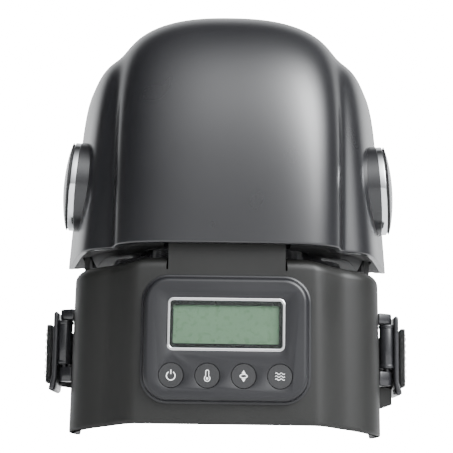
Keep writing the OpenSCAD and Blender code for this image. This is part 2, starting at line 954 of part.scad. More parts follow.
hook_buckle(-1);  // hook_buckle_left
hook_buckle(1);  // hook_buckle_right
strap_end(-1);  // strap_end_left
strap_end(1);  // strap_end_right
calf_strap();
charging_inlet();
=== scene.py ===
"""Looks of the knee massager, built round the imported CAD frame. The shape formulas are in millimetres."""
import json
import math

import bmesh
import bpy
import numpy as np
from mathutils import Matrix, Vector


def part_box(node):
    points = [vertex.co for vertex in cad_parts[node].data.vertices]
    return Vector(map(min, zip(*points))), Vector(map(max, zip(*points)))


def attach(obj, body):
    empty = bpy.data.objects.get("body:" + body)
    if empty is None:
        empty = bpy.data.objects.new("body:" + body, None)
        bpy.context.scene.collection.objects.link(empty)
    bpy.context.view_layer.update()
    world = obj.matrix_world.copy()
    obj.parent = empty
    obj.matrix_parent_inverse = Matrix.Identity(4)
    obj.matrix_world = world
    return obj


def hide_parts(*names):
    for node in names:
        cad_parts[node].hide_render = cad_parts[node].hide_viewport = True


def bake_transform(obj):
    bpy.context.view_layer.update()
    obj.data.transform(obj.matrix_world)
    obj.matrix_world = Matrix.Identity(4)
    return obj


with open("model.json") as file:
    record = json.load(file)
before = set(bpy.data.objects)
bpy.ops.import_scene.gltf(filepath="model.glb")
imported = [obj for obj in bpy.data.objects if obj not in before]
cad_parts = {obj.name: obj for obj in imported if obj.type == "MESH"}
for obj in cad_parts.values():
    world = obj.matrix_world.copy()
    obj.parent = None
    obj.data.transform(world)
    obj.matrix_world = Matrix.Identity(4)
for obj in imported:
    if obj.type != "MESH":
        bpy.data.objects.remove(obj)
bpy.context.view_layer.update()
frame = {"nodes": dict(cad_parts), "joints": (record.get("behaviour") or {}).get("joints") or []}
NODES = frame["nodes"]
JOINTS = {joint["name"]: joint for joint in frame["joints"]}
MM = 0.001
SIDES = {"left": -1, "right": 1}


def corners(node):
    """Lowest and highest corner of a CAD node, in millimetres."""
    low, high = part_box(node)
    return np.array(low) / MM, np.array(high) / MM


def add_object(name, data):
    made = bpy.data.objects.new(name, data)
    bpy.context.scene.collection.objects.link(made)
    return made


def node_tree(owner):
    """Empty node tree of a material or world."""
    owner.use_nodes = True
    owner.node_tree.nodes.clear()
    return owner.node_tree


def add_node(tree, kind, sockets=None, **settings):
    """New shader node. A socket takes a value, or a link where the value is another node's output."""
    made = tree.nodes.new(f"ShaderNode{kind}")
    for key, value in settings.items():
        setattr(made, key, value)
    for key, value in (sockets or {}).items():
        if isinstance(value, bpy.types.NodeSocket):
            tree.links.new(value, made.inputs[key])
        else:
            made.inputs[key].default_value = value
    return made


def add_maths(tree, operation, *values):
    return add_node(tree, "Math", dict(enumerate(values)), operation=operation).outputs[0]


# ---------------------------------------------------------------- camera, floor and light

VIEW_DISTANCE = 0.85
VIEW_ELEVATION = math.radians(-10)
VIEW_TARGET = Vector((0, -0.02, 0.128))
FOCAL_IN_WIDTHS = 3.02649
SENSOR = 36
ROLL = math.radians(0.8)
SIDE_SHIFT = -0.0022


def make_camera():
    data = bpy.data.cameras.new("camera")
    data.sensor_width = SENSOR
    data.lens = SENSOR * FOCAL_IN_WIDTHS
    data.shift_x = SIDE_SHIFT
    data.clip_start = 0.01
    camera = add_object("camera", data)
    look = Vector((0, math.cos(VIEW_ELEVATION), -math.sin(VIEW_ELEVATION)))
    camera.location = VIEW_TARGET - VIEW_DISTANCE * look
    turn = look.to_track_quat("-Z", "Y").to_matrix() @ Matrix.Rotation(ROLL, 3, "Z")
    camera.rotation_euler = turn.to_euler()
    bpy.context.scene.camera = camera


FLOOR_HALF = 4
FLOOR_TONE = 0.86


def make_floor():
    """Pale ground. Its underside doesn't hide the object from a camera that looks up from just below it."""
    mesh = bpy.data.meshes.new("floor")
    square = [(FLOOR_HALF * x, FLOOR_HALF * y, 0) for x, y in ((-1, -1), (1, -1), (1, 1), (-1, 1))]
    mesh.from_pydata(square, [], [(0, 1, 2, 3)])
    material = bpy.data.materials.new("floor")
    tree = node_tree(material)
    pale = add_node(tree, "BsdfDiffuse", {"Color": (FLOOR_TONE, FLOOR_TONE, FLOOR_TONE, 1)})
    clear = add_node(tree, "BsdfTransparent")
    from_below = add_maths(tree, "MULTIPLY", add_node(tree, "NewGeometry").outputs["Backfacing"],
                           add_node(tree, "LightPath").outputs["Is Camera Ray"])
    mix = add_node(tree, "MixShader", {0: from_below, 1: pale.outputs[0], 2: clear.outputs[0]})
    add_node(tree, "OutputMaterial", {"Surface": mix.outputs[0]})
    mesh.materials.append(material)
    add_object("floor", mesh)


# Soft lights of the studio: azimuth from the front towards the right, elevation, sharpness, brightness
GLOWS = ((45, 38, 18.0, 24.0), (14, 46, 6.5, 2.6), (10, 8, 8.0, 0.5), (120, 5, 9.0, 0.3), (-100, 10, 9.0, 0.08))
REAR_GLOW = {"From Min": 0.4, "From Max": 0.95, "To Min": 0.012, "To Max": 1.6}
ROOM_TONE = (0.97, 0.985, 1.0, 1)
SEEN_WHITE = 18
SOFTBOX_WAY = (44, 34)
SOFTBOX_DISTANCE = 1.6
SOFTBOX_SIZE = (0.5, 1.3)
SOFTBOX_RADIANCE = 3.0
SOFTBOX_AIM = Vector((0, -0.03, 0.14))


def direction(azimuth, elevation):
    across, up = math.radians(azimuth), math.radians(elevation)
    return Vector((math.sin(across) * math.cos(up), -math.cos(across) * math.cos(up), math.sin(up)))


def make_world():
    """White behind the object, soft lights in front of it; the camera itself sees plain white."""
    world = bpy.data.worlds.new("studio")
    bpy.context.scene.world = world
    tree = node_tree(world)
    way = add_node(tree, "TexCoord").outputs["Generated"]
    rearward = add_node(tree, "SeparateXYZ", {0: way}).outputs["Y"]
    behind = add_node(tree, "MapRange", {"Value": rearward, **REAR_GLOW}, interpolation_type="SMOOTHSTEP")
    total = behind.outputs["Result"]
    for azimuth, elevation, sharpness, brightness in GLOWS:
        dot = add_node(tree, "VectorMath", {0: way, 1: direction(azimuth, elevation)}, operation="DOT_PRODUCT")
        short = add_maths(tree, "SUBTRACT", dot.outputs["Value"], 1.0)
        glow = add_maths(tree, "EXPONENT", add_maths(tree, "MULTIPLY", short, sharpness))
        total = add_maths(tree, "ADD", total, add_maths(tree, "MULTIPLY", glow, brightness))
    room = add_node(tree, "Background", {"Color": ROOM_TONE, "Strength": total})
    plain = add_node(tree, "Background", {"Color": (1, 1, 1, 1), "Strength": SEEN_WHITE})
    seen = add_node(tree, "LightPath").outputs["Is Camera Ray"]
    mix = add_node(tree, "MixShader", {0: seen, 1: room.outputs[0], 2: plain.outputs[0]})
    add_node(tree, "OutputWorld", {"Surface": mix.outputs[0]})


def make_softbox():
    """Tall soft light in front on the right, the source of the bright strip on the dome."""
    data = bpy.data.lights.new("key", "AREA")
    data.shape = "RECTANGLE"
    data.size, data.size_y = SOFTBOX_SIZE
    data.energy = SOFTBOX_RADIANCE * math.pi * SOFTBOX_SIZE[0] * SOFTBOX_SIZE[1]
    light = add_object("key", data)
    way = direction(*SOFTBOX_WAY)
    light.location = SOFTBOX_AIM + SOFTBOX_DISTANCE * way
    light.rotation_euler = (-way).to_track_quat("-Z", "Y").to_euler()


make_camera()
make_floor()
make_world()
make_softbox()

# ---------------------------------------------------------------- materials


class Finish:
    """A principled material whose nodes are added one by one."""

    def __init__(self, name, colour, roughness, **values):
        self.material = bpy.data.materials.new(name)
        self.tree = node_tree(self.material)
        self.place = self.add("TexCoord").outputs["Object"]
        self.normal = None
        more = {key.replace("_", " ").title().replace("Ior", "IOR"): value for key, value in values.items()}
        self.shader = self.add("BsdfPrincipled", {"Base Color": (*colour, 1), "Roughness": roughness, **more})
        self.add("OutputMaterial", {"Surface": self.shader.outputs[0]})

    def add(self, kind, sockets=None, **settings):
        return add_node(self.tree, kind, sockets, **settings)

    def feed(self, socket, value):
        self.tree.links.new(value, self.shader.inputs[socket])

    def noise(self, scale, detail=3.0, roughness=0.55, stretch=None):
        place = self.place
        if stretch:
            place = self.add("Mapping", {"Vector": place, "Scale": stretch}).outputs[0]
        return self.add("TexNoise", {"Vector": place, "Scale": scale, "Detail": detail,
                                     "Roughness": roughness}).outputs["Fac"]

    def range(self, value, low, high, start=0.0, end=1.0):
        return self.add("MapRange", {"Value": value, "From Min": start, "From Max": end,
                                     "To Min": low, "To Max": high}).outputs["Result"]

    def vary_roughness(self, value, low, high, start=0.3, end=0.7):
        self.feed("Roughness", self.range(value, low, high, start, end))

    def vary_colour(self, value, low, high, start=0.3, end=0.7):
        mix = self.add("Mix", {"Factor": self.range(value, 0, 1, start, end), "A": (*low, 1), "B": (*high, 1)},
                       data_type="RGBA")
        self.feed("Base Color", mix.outputs["Result"])

    def bump(self, height, strength, distance):
        sockets = {"Height": height, "Strength": strength, "Distance": distance}
        if self.normal is not None:
            sockets["Normal"] = self.normal
        self.normal = self.add("Bump", sockets).outputs["Normal"]
        self.feed("Normal", self.normal)

    def maths(self, operation, *values):
        return add_maths(self.tree, operation, *values)

    def axis(self, letter):
        return self.add("SeparateXYZ", {0: self.place}).outputs[letter]

    def wave(self, place, rate):
        return self.maths("SINE", self.maths("MULTIPLY", place, rate))


def tinted(colour, factor):
    return tuple(min(1, c * factor) for c in colour)


def moulded(name, colour, roughness, grain=0.15, grain_scale=2200, spread=0.06, **values):
    """Moulded plastic: a fine spark-eroded grain, and slow changes of gloss and tone."""
    finish = Finish(name, colour, roughness, **values)
    finish.vary_roughness(finish.noise(22, 2), roughness - spread, roughness + spread)
    finish.vary_colour(finish.noise(9, 4), tinted(colour, 0.9), tinted(colour, 1.1))
    finish.bump(finish.noise(grain_scale, 2, 0.7), grain, 0.00012)
    return finish.material


def polished(name, colour, roughness):
    """Bright plating with faint polishing marks and waviness."""
    finish = Finish(name, colour, roughness, metallic=1.0)
    finish.vary_roughness(finish.noise(700, 4, 0.6, stretch=(1, 1, 14)), roughness * 0.6, roughness * 1.6)
    finish.vary_colour(finish.noise(30, 2), tinted(colour, 0.94), tinted(colour, 1.04))
    finish.bump(finish.noise(60, 1), 0.05, 0.0002)
    return finish.material


def turned(name, colour, roughness):
    """Machined metal with fine lines across its length."""
    finish = Finish(name, colour, roughness, metallic=1.0)
    lines = finish.noise(900, 3, 0.6, stretch=(8, 1, 8))
    finish.vary_roughness(lines, roughness * 0.7, roughness * 1.4)
    finish.vary_colour(finish.noise(40, 3), tinted(colour, 0.85), tinted(colour, 1.05))
    finish.bump(lines, 0.12, 0.00008)
    return finish.material


def cloth(name, colour, pitch, narrow, thread_bump, painted_shade_and_highlight_tones, fuzz, fuzz_bump, **values):
    """Woven or knitted cloth: threads from two crossed waves, a tone that follows the threads' relief as painted shade
    in the hollows and painted highlight on the tops, with some random unevenness, and fuzz on top.

    pitch is from thread to thread in metres, and narrow is how much closer the columns are than the rows."""
    finish = Finish(name, colour, **values)
    rate = 2 * math.pi / pitch
    slant = finish.maths("ADD", finish.axis("X"), finish.axis("Y"))
    cross = finish.maths("MULTIPLY", finish.wave(finish.axis("Z"), rate), finish.wave(slant, rate * narrow))
    height = finish.maths("ADD", cross, finish.range(finish.noise(2600, 2), -0.35, 0.35))
    finish.bump(height, *thread_bump)
    # Painted shade and highlight: the colour follows the weave's relief, darker in the hollows between threads and
    # lighter on their tops, with random tone from the noise.
    finish.vary_colour(height, *(tinted(colour, tone) for tone in painted_shade_and_highlight_tones), -0.8, 0.9)
    finish.bump(finish.noise(*fuzz), *fuzz_bump)
    return finish.material


def webbing(name, colour):
    """Loop-faced webbing: fuzzy loops over a coarse weave."""
    return cloth(name, colour, 0.0016, 1.0, (0.8, 0.0006), (0.5, 1.9), (900, 4, 0.7), (0.9, 0.0008),
                 roughness=0.97, sheen_weight=0.35, sheen_roughness=0.4, specular_ior_level=0.15)


DOME = moulded("dome_gloss", (0.011, 0.011, 0.0125), 0.3, grain=0.2, grain_scale=1700, spread=0.03,
               coat_weight=0.35, coat_roughness=0.12)
SHELL = moulded("shell_matte", (0.0085, 0.0085, 0.0078), 0.44, grain=0.45, grain_scale=1500,
                specular_ior_level=0.36)
BEZEL = moulded("bezel_satin", (0.0105, 0.0105, 0.0122), 0.36, grain=0.15, grain_scale=2400,
                specular_ior_level=0.4)
INNER = moulded("inner_plastic", (0.012, 0.012, 0.012), 0.6, grain=0.3)
# Soft brushed lining: knit loops a little over a millimetre apart
PAD = cloth("pad_fabric", (0.03, 0.03, 0.033), 0.0011, 0.7, (0.55, 0.0004), (0.6, 1.5), (260, 3), (0.25, 0.0006),
            roughness=0.95, sheen_weight=0.45, sheen_roughness=0.5, specular_ior_level=0.2)
STRAP = webbing("webbing", (0.009, 0.009, 0.009))
THREAD = webbing("stitch_thread", (0.035, 0.035, 0.036))
BUCKLE = moulded("buckle_gloss", (0.016, 0.016, 0.018), 0.22, grain=0.08, spread=0.04,
                 coat_weight=0.3, coat_roughness=0.08)
CHROME = polished("ring_chrome", (0.83, 0.84, 0.86), 0.08)
CAP = moulded("cap_gloss", (0.07, 0.07, 0.074), 0.2, grain=0.05, spread=0.04,
              coat_weight=0.5, coat_roughness=0.06)
BRIGHT = polished("frame_bright", (0.93, 0.93, 0.94), 0.12)
MASK = moulded("mask_black", (0.006, 0.006, 0.006), 0.25, grain=0.04)
KEY = moulded("button_black", (0.013, 0.013, 0.014), 0.42, grain=0.25)
ICON = moulded("icon_white", (0.82, 0.82, 0.82), 0.5, grain=0.05)
STEEL = turned("steel", (0.62, 0.62, 0.64), 0.3)
BRASS = turned("weight_brass", (0.72, 0.55, 0.25), 0.32)
NYLON = moulded("bush_nylon", (0.75, 0.74, 0.7), 0.45, grain=0.1, subsurface_weight=0.1)
AIR_FILM = moulded("air_bag_film", (0.2, 0.2, 0.21), 0.35, grain=0.3, grain_scale=700)
PUMP = moulded("pump_plastic", (0.6, 0.6, 0.58), 0.4, grain=0.15)
BATTERY = moulded("battery_wrap", (0.03, 0.08, 0.33), 0.25, grain=0.1, grain_scale=400)


def make_lcd_material():
    """Reflective grey-green display, with a painted shadow that makes its right end slightly darker."""
    colour = (0.115, 0.185, 0.118)
    finish = Finish("lcd_green", colour, 0.28)
    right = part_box("lcd_panel")[1].x
    # Painted shadow: the colour darkens over the last few millimetres at the display's right end.
    edge = finish.range(finish.axis("X"), 0, 1, right - 0.0042, right - 0.0016)
    finish.vary_colour(finish.maths("ADD", edge, finish.range(finish.noise(25, 2), -0.015, 0.015)),
                       tinted(colour, 1.03), tinted(colour, 0.7), 0, 1)
    finish.vary_roughness(finish.noise(300, 2), 0.24, 0.34)
    finish.bump(finish.noise(2500, 1), 0.004, 0.00005)
    return finish.material


def make_window_material():
    """Clear acrylic over the display."""
    finish = Finish("window_clear", (0.9, 0.95, 0.92), 0.06, transmission_weight=1.0, ior=1.2,
                    specular_ior_level=0.35)
    finish.vary_roughness(finish.noise(60, 2), 0.03, 0.045)
    return finish.material


def make_heater_material():
    """Heating film: copper tracks on amber foil."""
    finish = Finish("heater_copper", (0.5, 0.22, 0.08), 0.4)
    tracks = finish.wave(finish.axis("Z"), 900.0)
    finish.vary_colour(tracks, (0.35, 0.12, 0.03), (0.75, 0.38, 0.2), 0.1, 0.4)
    finish.bump(tracks, 0.3, 0.0002)
    finish.vary_roughness(finish.noise(200, 2), 0.3, 0.5)
    return finish.material


def make_board_material():
    """Solder mask with the traces showing through as a slightly lighter grid."""
    finish = Finish("board_green", (0.02, 0.12, 0.045), 0.35)
    tracks = finish.maths("MAXIMUM", finish.wave(finish.axis("X"), 2600.0), finish.wave(finish.axis("Z"), 1900.0))
    finish.vary_colour(tracks, (0.016, 0.1, 0.038), (0.04, 0.2, 0.07), 0.85, 0.95)
    finish.bump(tracks, 0.2, 0.0001)
    return finish.material


LCD = make_lcd_material()
WINDOW = make_window_material()
HEATER = make_heater_material()
BOARD = make_board_material()

# ---------------------------------------------------------------- mesh tools


def edit_mesh(mesh, change):
    """Opens a mesh for a function that changes it, and writes it back."""
    work = bmesh.new()
    work.from_mesh(mesh)
    change(work)
    work.to_mesh(mesh)
    work.free()


def drop_loose(work):
    bmesh.ops.delete(work, geom=[v for v in work.verts if not v.link_faces], context="VERTS")
    bmesh.ops.recalc_face_normals(work, faces=work.faces)


def plain_piece(name, vertices, faces):
    """Object from vertices in millimetres, flat shaded and without a material."""
    mesh = bpy.data.meshes.new(name)
    mesh.from_pydata([tuple(v) for v in np.asarray(vertices) * MM], [], faces)
    mesh.update()
    edit_mesh(mesh, drop_loose)
    return add_object(name, mesh)


def new_piece(name, vertices, faces, material, body=None, slot=None, crease=None):
    """Visual piece that rides on a body. The slot argument is not used.

    With a crease, edges above that many degrees stay hard; otherwise it is smooth all over."""
    piece = plain_piece(name, vertices, faces)
    piece.data.materials.append(material)
    if crease:
        smooth_by_angle(piece, crease)
    else:
        piece.data.shade_smooth()
    if body:
        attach(piece, body)
    slot or material.name.split(".")[0]
    return piece


def sheet_solid(outer, inner, cells=None):
    """Vertices and faces of a closed sheet between two grids of points, on the cells that are kept."""
    rows, columns = outer.shape[:2]
    if cells is None:
        cells = np.ones((rows - 1, columns - 1), bool)
    padded = np.pad(cells, 1)
    size = rows * columns
    faces = []
    for i, j in zip(*np.nonzero(cells)):
        a, b = i * columns + j, (i + 1) * columns + j
        c, d = b + 1, a + 1
        faces.append((a, b, c, d))
        faces.append((size + d, size + c, size + b, size + a))
        sides = ((padded[i, j + 1], d, a), (padded[i + 2, j + 1], b, c),
                 (padded[i + 1, j], a, b), (padded[i + 1, j + 2], c, d))
        faces += [(v, u, size + u, size + v) for kept, u, v in sides if not kept]
    return np.concatenate([outer.reshape(-1, 3), inner.reshape(-1, 3)]), faces


def smooth_by_angle(piece, degrees):
    """Smooth shading with hard edges above an angle."""
    limit = math.radians(degrees)

    def mark(work):
        for edge in work.edges:
            edge.smooth = len(edge.link_faces) == 2 and edge.calc_face_angle(0) < limit

    piece.data.shade_smooth()
    edit_mesh(piece.data, mark)


def apply_modifiers(piece):
    """Keeps the mesh that the piece's modifiers make, and takes the modifiers off."""
    bpy.context.view_layer.update()
    evaluated = piece.evaluated_get(bpy.context.evaluated_depsgraph_get())
    mesh = bpy.data.meshes.new_from_object(evaluated)
    materials = list(piece.data.materials)
    piece.modifiers.clear()
    piece.data = mesh
    mesh.materials.clear()
    for material in materials:
        mesh.materials.append(material)


def cut(piece, vertices, faces):
    """Takes a closed shape, in millimetres, out of a piece."""
    tool = plain_piece("cutter", vertices, faces)
    modifier = piece.modifiers.new("cut", "BOOLEAN")
    modifier.operation = "DIFFERENCE"
    modifier.solver = "EXACT"
    modifier.object = tool
    apply_modifiers(piece)
    bpy.data.objects.remove(tool)


def add_bevel(piece, width, segments, degrees):
    """Bevel modifier, in metres, on the edges above an angle."""
    bevel = piece.modifiers.new("bevel", "BEVEL")
    bevel.width = width
    bevel.segments = segments
    bevel.limit_method = "ANGLE"
    bevel.angle_limit = math.radians(degrees)
    return bevel


def round_rect(width, height, radius, steps=10):
    """Outline of a rectangle with round corners, anticlockwise, in the x-z plane."""
    points = []
    for corner, (sx, sz) in enumerate(((1, 1), (-1, 1), (-1, -1), (1, -1))):
        for k in range(steps + 1):
            a = math.radians(corner * 90 + 90 * k / steps)
            points.append((sx * (width / 2 - radius) + radius * math.cos(a),
                           sz * (height / 2 - radius) + radius * math.sin(a)))
    return points


def loft(rings, closed_ends=True):
    """Vertices and faces of a body through rings of equally many points."""
    count = len(rings[0])
    vertices = [p for ring in rings for p in ring]
    faces = []
    for r in range(len(rings) - 1):
        for k in range(count):
            n = (k + 1) % count
            faces.append((r * count + k, r * count + n, (r + 1) * count + n, (r + 1) * count + k))
    if closed_ends:
        faces.append(tuple(range(count)))
        faces.append(tuple(range((len(rings) - 1) * count, len(rings) * count)))
    return vertices, faces


def prism(points, axis, ends, shift=(0, 0), side=1):
    """Straight body along an axis; side -1 mirrors it to the left. Points and shift lie across the axis."""
    order = {"x": (2, 0, 1), "y": (0, 2, 1), "z": (0, 1, 2)}[axis]
    rings = []
    for end in ends:
        ring = [(shift[0] + a, shift[1] + b, end) for a, b in points]
        rings.append([(side * p[order[0]], p[order[1]], p[order[2]]) for p in ring])
    return loft(rings)


def revolve(profile, place, steps=96):
    """Turned body: profile holds (radius, height) points, first and last on the axis or forming a ring."""
    count = len(profile)
    spans = count if profile[0][0] > 1e-6 else count - 1
    vertices, faces = [], []
    for k in range(steps):
        a, n = 2 * math.pi * k / steps, (k + 1) % steps
        vertices += [place @ Vector((r * math.cos(a), r * math.sin(a), height)) for r, height in profile]
        for j in range(spans):
            m = (j + 1) % count
            faces.append((k * count + j, n * count + j, n * count + m, k * count + m))
    return vertices, faces


def merge_close(piece, distance=1e-6):
    def merge(work):
        bmesh.ops.remove_doubles(work, verts=work.verts, dist=distance)
        bmesh.ops.recalc_face_normals(work, faces=work.faces)

    edit_mesh(piece.data, merge)


# ---------------------------------------------------------------- the dome's surface

DOME_LOW, DOME_HIGH = corners("dome_shell")
RIM_Z = DOME_LOW[2]
REAR_Y = DOME_HIGH[1]
BAND = {"half": 68.2, "depth": REAR_Y - DOME_LOW[1], "height": DOME_HIGH[2] - RIM_Z}
FLANK = {"half": DOME_HIGH[0], "depth": 77.2, "height": 133.6}
VALLEY_SHARPNESS = 45
BAND_ROUND = (4.1, 2.08)
BAND_FLAT = (0.58, 0.8)
BAND_BEND = 2.91
FLANK_ROUND = 8.56
FLANK_BEND = 4
FLANK_DRAFT = (0.22, 0.074)
WALL = 3.0
LINER = (17.5, 21.0, 20.0)
POLE = 89.4
EDGE_R = 0.9
REAR_FALL = 2.0
REAR_FALL_START = 45


def superellipse(a, b, n):
    return (a ** n + b ** n) ** (1 / n)


def ease(t):
    """Smooth step from 0 to 1."""
    t = np.clip(t, 0, 1)
    return t * t * (3 - 2 * t)


def spread(low, high, count):
    """Even turns in radians, as a column."""
    return np.radians(np.linspace(low, high, count))[:, None]


def stack(x, y, z):
    """Grid of points from coordinates that fill each other out."""
    return np.stack(np.broadcast_arrays(x, y, z), -1)


def halve(is_outside, low, high, steps=34):
    """Where a region ends between low and high, by halving the interval."""
    for _ in range(steps):
        middle = (low + high) / 2
        outside = is_outside(middle)
        low, high = np.where(outside, low, middle), np.where(outside, middle, high)
    return (low + high) / 2


def lobe_radius(side, reach, half, taper, flat, n):
    """Distance to the surface of a rounded box."""
    def is_outside(r):
        return ((r * side / np.maximum(1, half - taper * r)) ** n
                + (np.maximum(0, r * reach - flat) / (1 - flat)) ** n) > 1

    low = np.zeros(np.broadcast(side, reach, half, taper, flat, n).shape)
    return halve(is_outside, low, low + 260.0)


def join_lobes(a, b):
    big, small = np.maximum(a, b), np.minimum(a, b)
    return big * (1 + (small / big) ** VALLEY_SHARPNESS) ** (1 / VALLEY_SHARPNESS)


def dome_radius(turn, lift, inset):
    """Distance from the dome's centre; inset is (at the sides, in front, on top)."""
    side = np.abs(np.sin(turn))
    fore = np.cos(turn) * np.cos(lift)
    up = np.cos(turn) * np.sin(lift)
    depth, height = BAND["depth"] - inset[1], BAND["height"] - inset[2]
    upness = np.sin(lift) ** 2 / (np.sin(lift) ** 2 + (np.cos(lift) * height / depth) ** 2)
    flat = BAND_FLAT[0] + (BAND_FLAT[1] - BAND_FLAT[0]) * upness
    n = BAND_ROUND[0] + (BAND_ROUND[1] - BAND_ROUND[0]) * upness
    band = lobe_radius(side, superellipse(fore / depth, up / height, BAND_BEND), BAND["half"] - inset[0], 0, flat, n)
    reach = superellipse(fore / (FLANK["depth"] - inset[1]), up / (FLANK["height"] - inset[2]), FLANK_BEND)
    taper = FLANK_DRAFT[0] * fore + FLANK_DRAFT[1] * up
    flank = lobe_radius(side, reach, FLANK["half"] - inset[0], taper, 0, FLANK_ROUND)
    return join_lobes(band, flank)


def from_polar(r, turn, lift):
    return stack(r * np.sin(turn), REAR_Y - r * np.cos(turn) * np.cos(lift), RIM_Z + r * np.cos(turn) * np.sin(lift))


def liner_depth(depth):
    """Inset of a surface that lies a depth inside the liner's outer face."""
    return tuple(inset + depth for inset in LINER)


def dome_points(turn, lift, inset=(0, 0, 0)):
    return from_polar(dome_radius(turn, lift, inset), turn, lift)


def drop_rear(points):
    """Lets the rim fall a little towards the rear corners, where it fades out upwards."""
    rearward = np.clip((points[..., 1] + REAR_FALL_START) / 65, 0, 1) ** 1.3
    points = points.copy()
    points[..., 2] -= REAR_FALL * rearward * np.clip(1 - (points[..., 2] - RIM_Z) / 30, 0, 1)
    return points


def edge_round(distance):
    """How far a rounded edge draws the surface in, at a distance from the edge's plane."""
    t = np.clip(EDGE_R - distance, 0, EDGE_R)
    return EDGE_R - np.sqrt(EDGE_R ** 2 - t ** 2)


def edge_spaced(low, high, count):
    """Even steps in radians, as a row, with finer ones at both ends."""
    offsets = np.cumsum(0.05 * 1.55 ** np.arange(7))
    gap = offsets[-1] * 1.4
    middle = np.linspace(low + gap, high - gap, count)
    return np.radians(np.concatenate([[low], low + offsets, middle, high - offsets[::-1], [high]]))[None, :]


# ---------------------------------------------------------------- side discs

DISC_X = 98.65
DISC_TILT = 4
DISC_YAW = 3
PIVOT = np.array(JOINTS["knee_pivot"]["pos_m"]) / MM
DISC_R = (corners("pivot_ring_right")[1][1] - corners("pivot_ring_right")[0][1]) / 2
SEAT_TOP = -3.6
SEAT_R = DISC_R + 0.45
HUB_R = 22.3


def disc_frame(side):
    """Matrix from a disc's own frame, with its axis along Z, to the object's, in millimetres."""
    place = (Matrix.Translation((DISC_X, PIVOT[1], PIVOT[2]))
             @ Matrix.Rotation(math.radians(-DISC_YAW), 4, "Z")
             @ Matrix.Rotation(math.radians(90 - DISC_TILT), 4, "Y"))
    if side < 0:
        place = Matrix.Scale(-1, 4, (1, 0, 0)) @ place
    return place


def cut_seats(piece):
    """Cuts a round pocket through the wall below each side disc and sets a turned seat into it."""
    r, foot = SEAT_R - 0.02, -15
    for name, side in SIDES.items():
        place = disc_frame(side)
        circle = [2 * math.pi * k / 96 for k in range(96)]
        cut(piece, *loft([[place @ Vector((SEAT_R * math.cos(a), SEAT_R * math.sin(a), h))
                           for a in circle] for h in (-22, 12)]))
        profile = [(HUB_R, foot), (r, foot), (r, SEAT_TOP - 0.3), (SEAT_R - 0.3, SEAT_TOP), (HUB_R, SEAT_TOP)]
        new_piece(f"disc_seat_{name}", *revolve(profile, place), DOME, "dome", crease=40)


def make_dome():
    turns, lifts = spread(-POLE, POLE, 261), edge_spaced(0, 90, 100)
    plain = dome_points(turns, lifts)
    inset = edge_round(plain[..., 2] - RIM_Z) + edge_round(REAR_Y - plain[..., 1])
    outer = drop_rear(dome_points(turns, lifts, (inset, inset, inset)))
    inner = drop_rear(dome_points(turns, lifts, (WALL, WALL, WALL)))
    piece = new_piece("dome_body", *sheet_solid(outer, inner), DOME, "dome")
    cut_seats(piece)
    smooth_by_angle(piece, 50)
    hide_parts("dome_shell")


LINER_T = 1.6
FLANGE_Z = RIM_Z + 0.2
FLANGE_T = 2.0
SHELF = 12.5
SHELF_START = 44
TONGUE_GAP = (74, 60, 3)
TONGUE_GAP_Y = -89.3
ARM_GAP_X = (83.8, 89.6)
ARM_GAP_Y = 18


def make_liner():
    turns, lifts = spread(-POLE, POLE, 181), edge_spaced(0, 90, 60)
    outer, inner = (drop_rear(dome_points(turns, lifts, liner_depth(depth))) for depth in (0, LINER_T))
    liner = new_piece("dome_inner_shell", *sheet_solid(outer, inner), INNER, "dome", crease=50)
    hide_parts("dome_liner")


def make_rim_flange():
    """Ring that closes the gap between shell and liner. At the sides it goes on inwards as a shelf."""
    turns, level = spread(-POLE, POLE, 181), np.zeros((1, 1))
    across = np.linspace(0, 1, 31)[None, :, None]
    shelf = 0.8 + SHELF * ease((np.degrees(np.abs(turns)) - SHELF_START) / 5)
    near, far = dome_points(turns, level, (WALL + 0.3,) * 3), dome_points(turns, level, liner_depth(shelf))
    ring = near + (far - near) * across
    ring[..., 2] = FLANGE_Z
    ring = drop_rear(ring)
    groove = 0.5 * np.exp(-((across - 0.2) / 0.05) ** 2)
    top, bottom = ring + np.array([0, 0, FLANGE_T]), ring + groove * np.array([0, 0, 1.0])
    flange = new_piece("rim_flange", *sheet_solid(top, bottom), INNER, "dome")
    cut(flange, *prism(round_rect(*TONGUE_GAP), "z", (FLANGE_Z - 2, FLANGE_Z + 4), (0, TONGUE_GAP_Y)))
    left, right = ARM_GAP_X
    gap = [(left, -ARM_GAP_Y), (right, -ARM_GAP_Y), (right, ARM_GAP_Y), (left, ARM_GAP_Y)]
    for side in SIDES.values():
        cut(flange, *prism(gap, "z", (FLANGE_Z - 5, FLANGE_Z + 5), side=side))
    smooth_by_angle(flange, 40)


def make_rear_trim():
    turns, up = spread(-POLE, POLE, 181), np.full((1, 1), math.pi / 2)
    outer, inner = dome_points(turns, up, (WALL + 0.7,) * 3), dome_points(turns, up, liner_depth(0.2))
    across = np.linspace(0, 1, 13)[None, :, None]
    back = outer + (inner - outer) * across
    front = back.copy()
    back[..., 1] = REAR_Y - 1.4 + 1.1 * np.sqrt(np.clip(1 - (2 * across - 1) ** 4, 0, 1))[..., 0]
    front[..., 1] = REAR_Y - 2.6
    piece = new_piece("rear_edge_trim", *sheet_solid(back, front), INNER, "dome", crease=50)
    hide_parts("rear_trim")


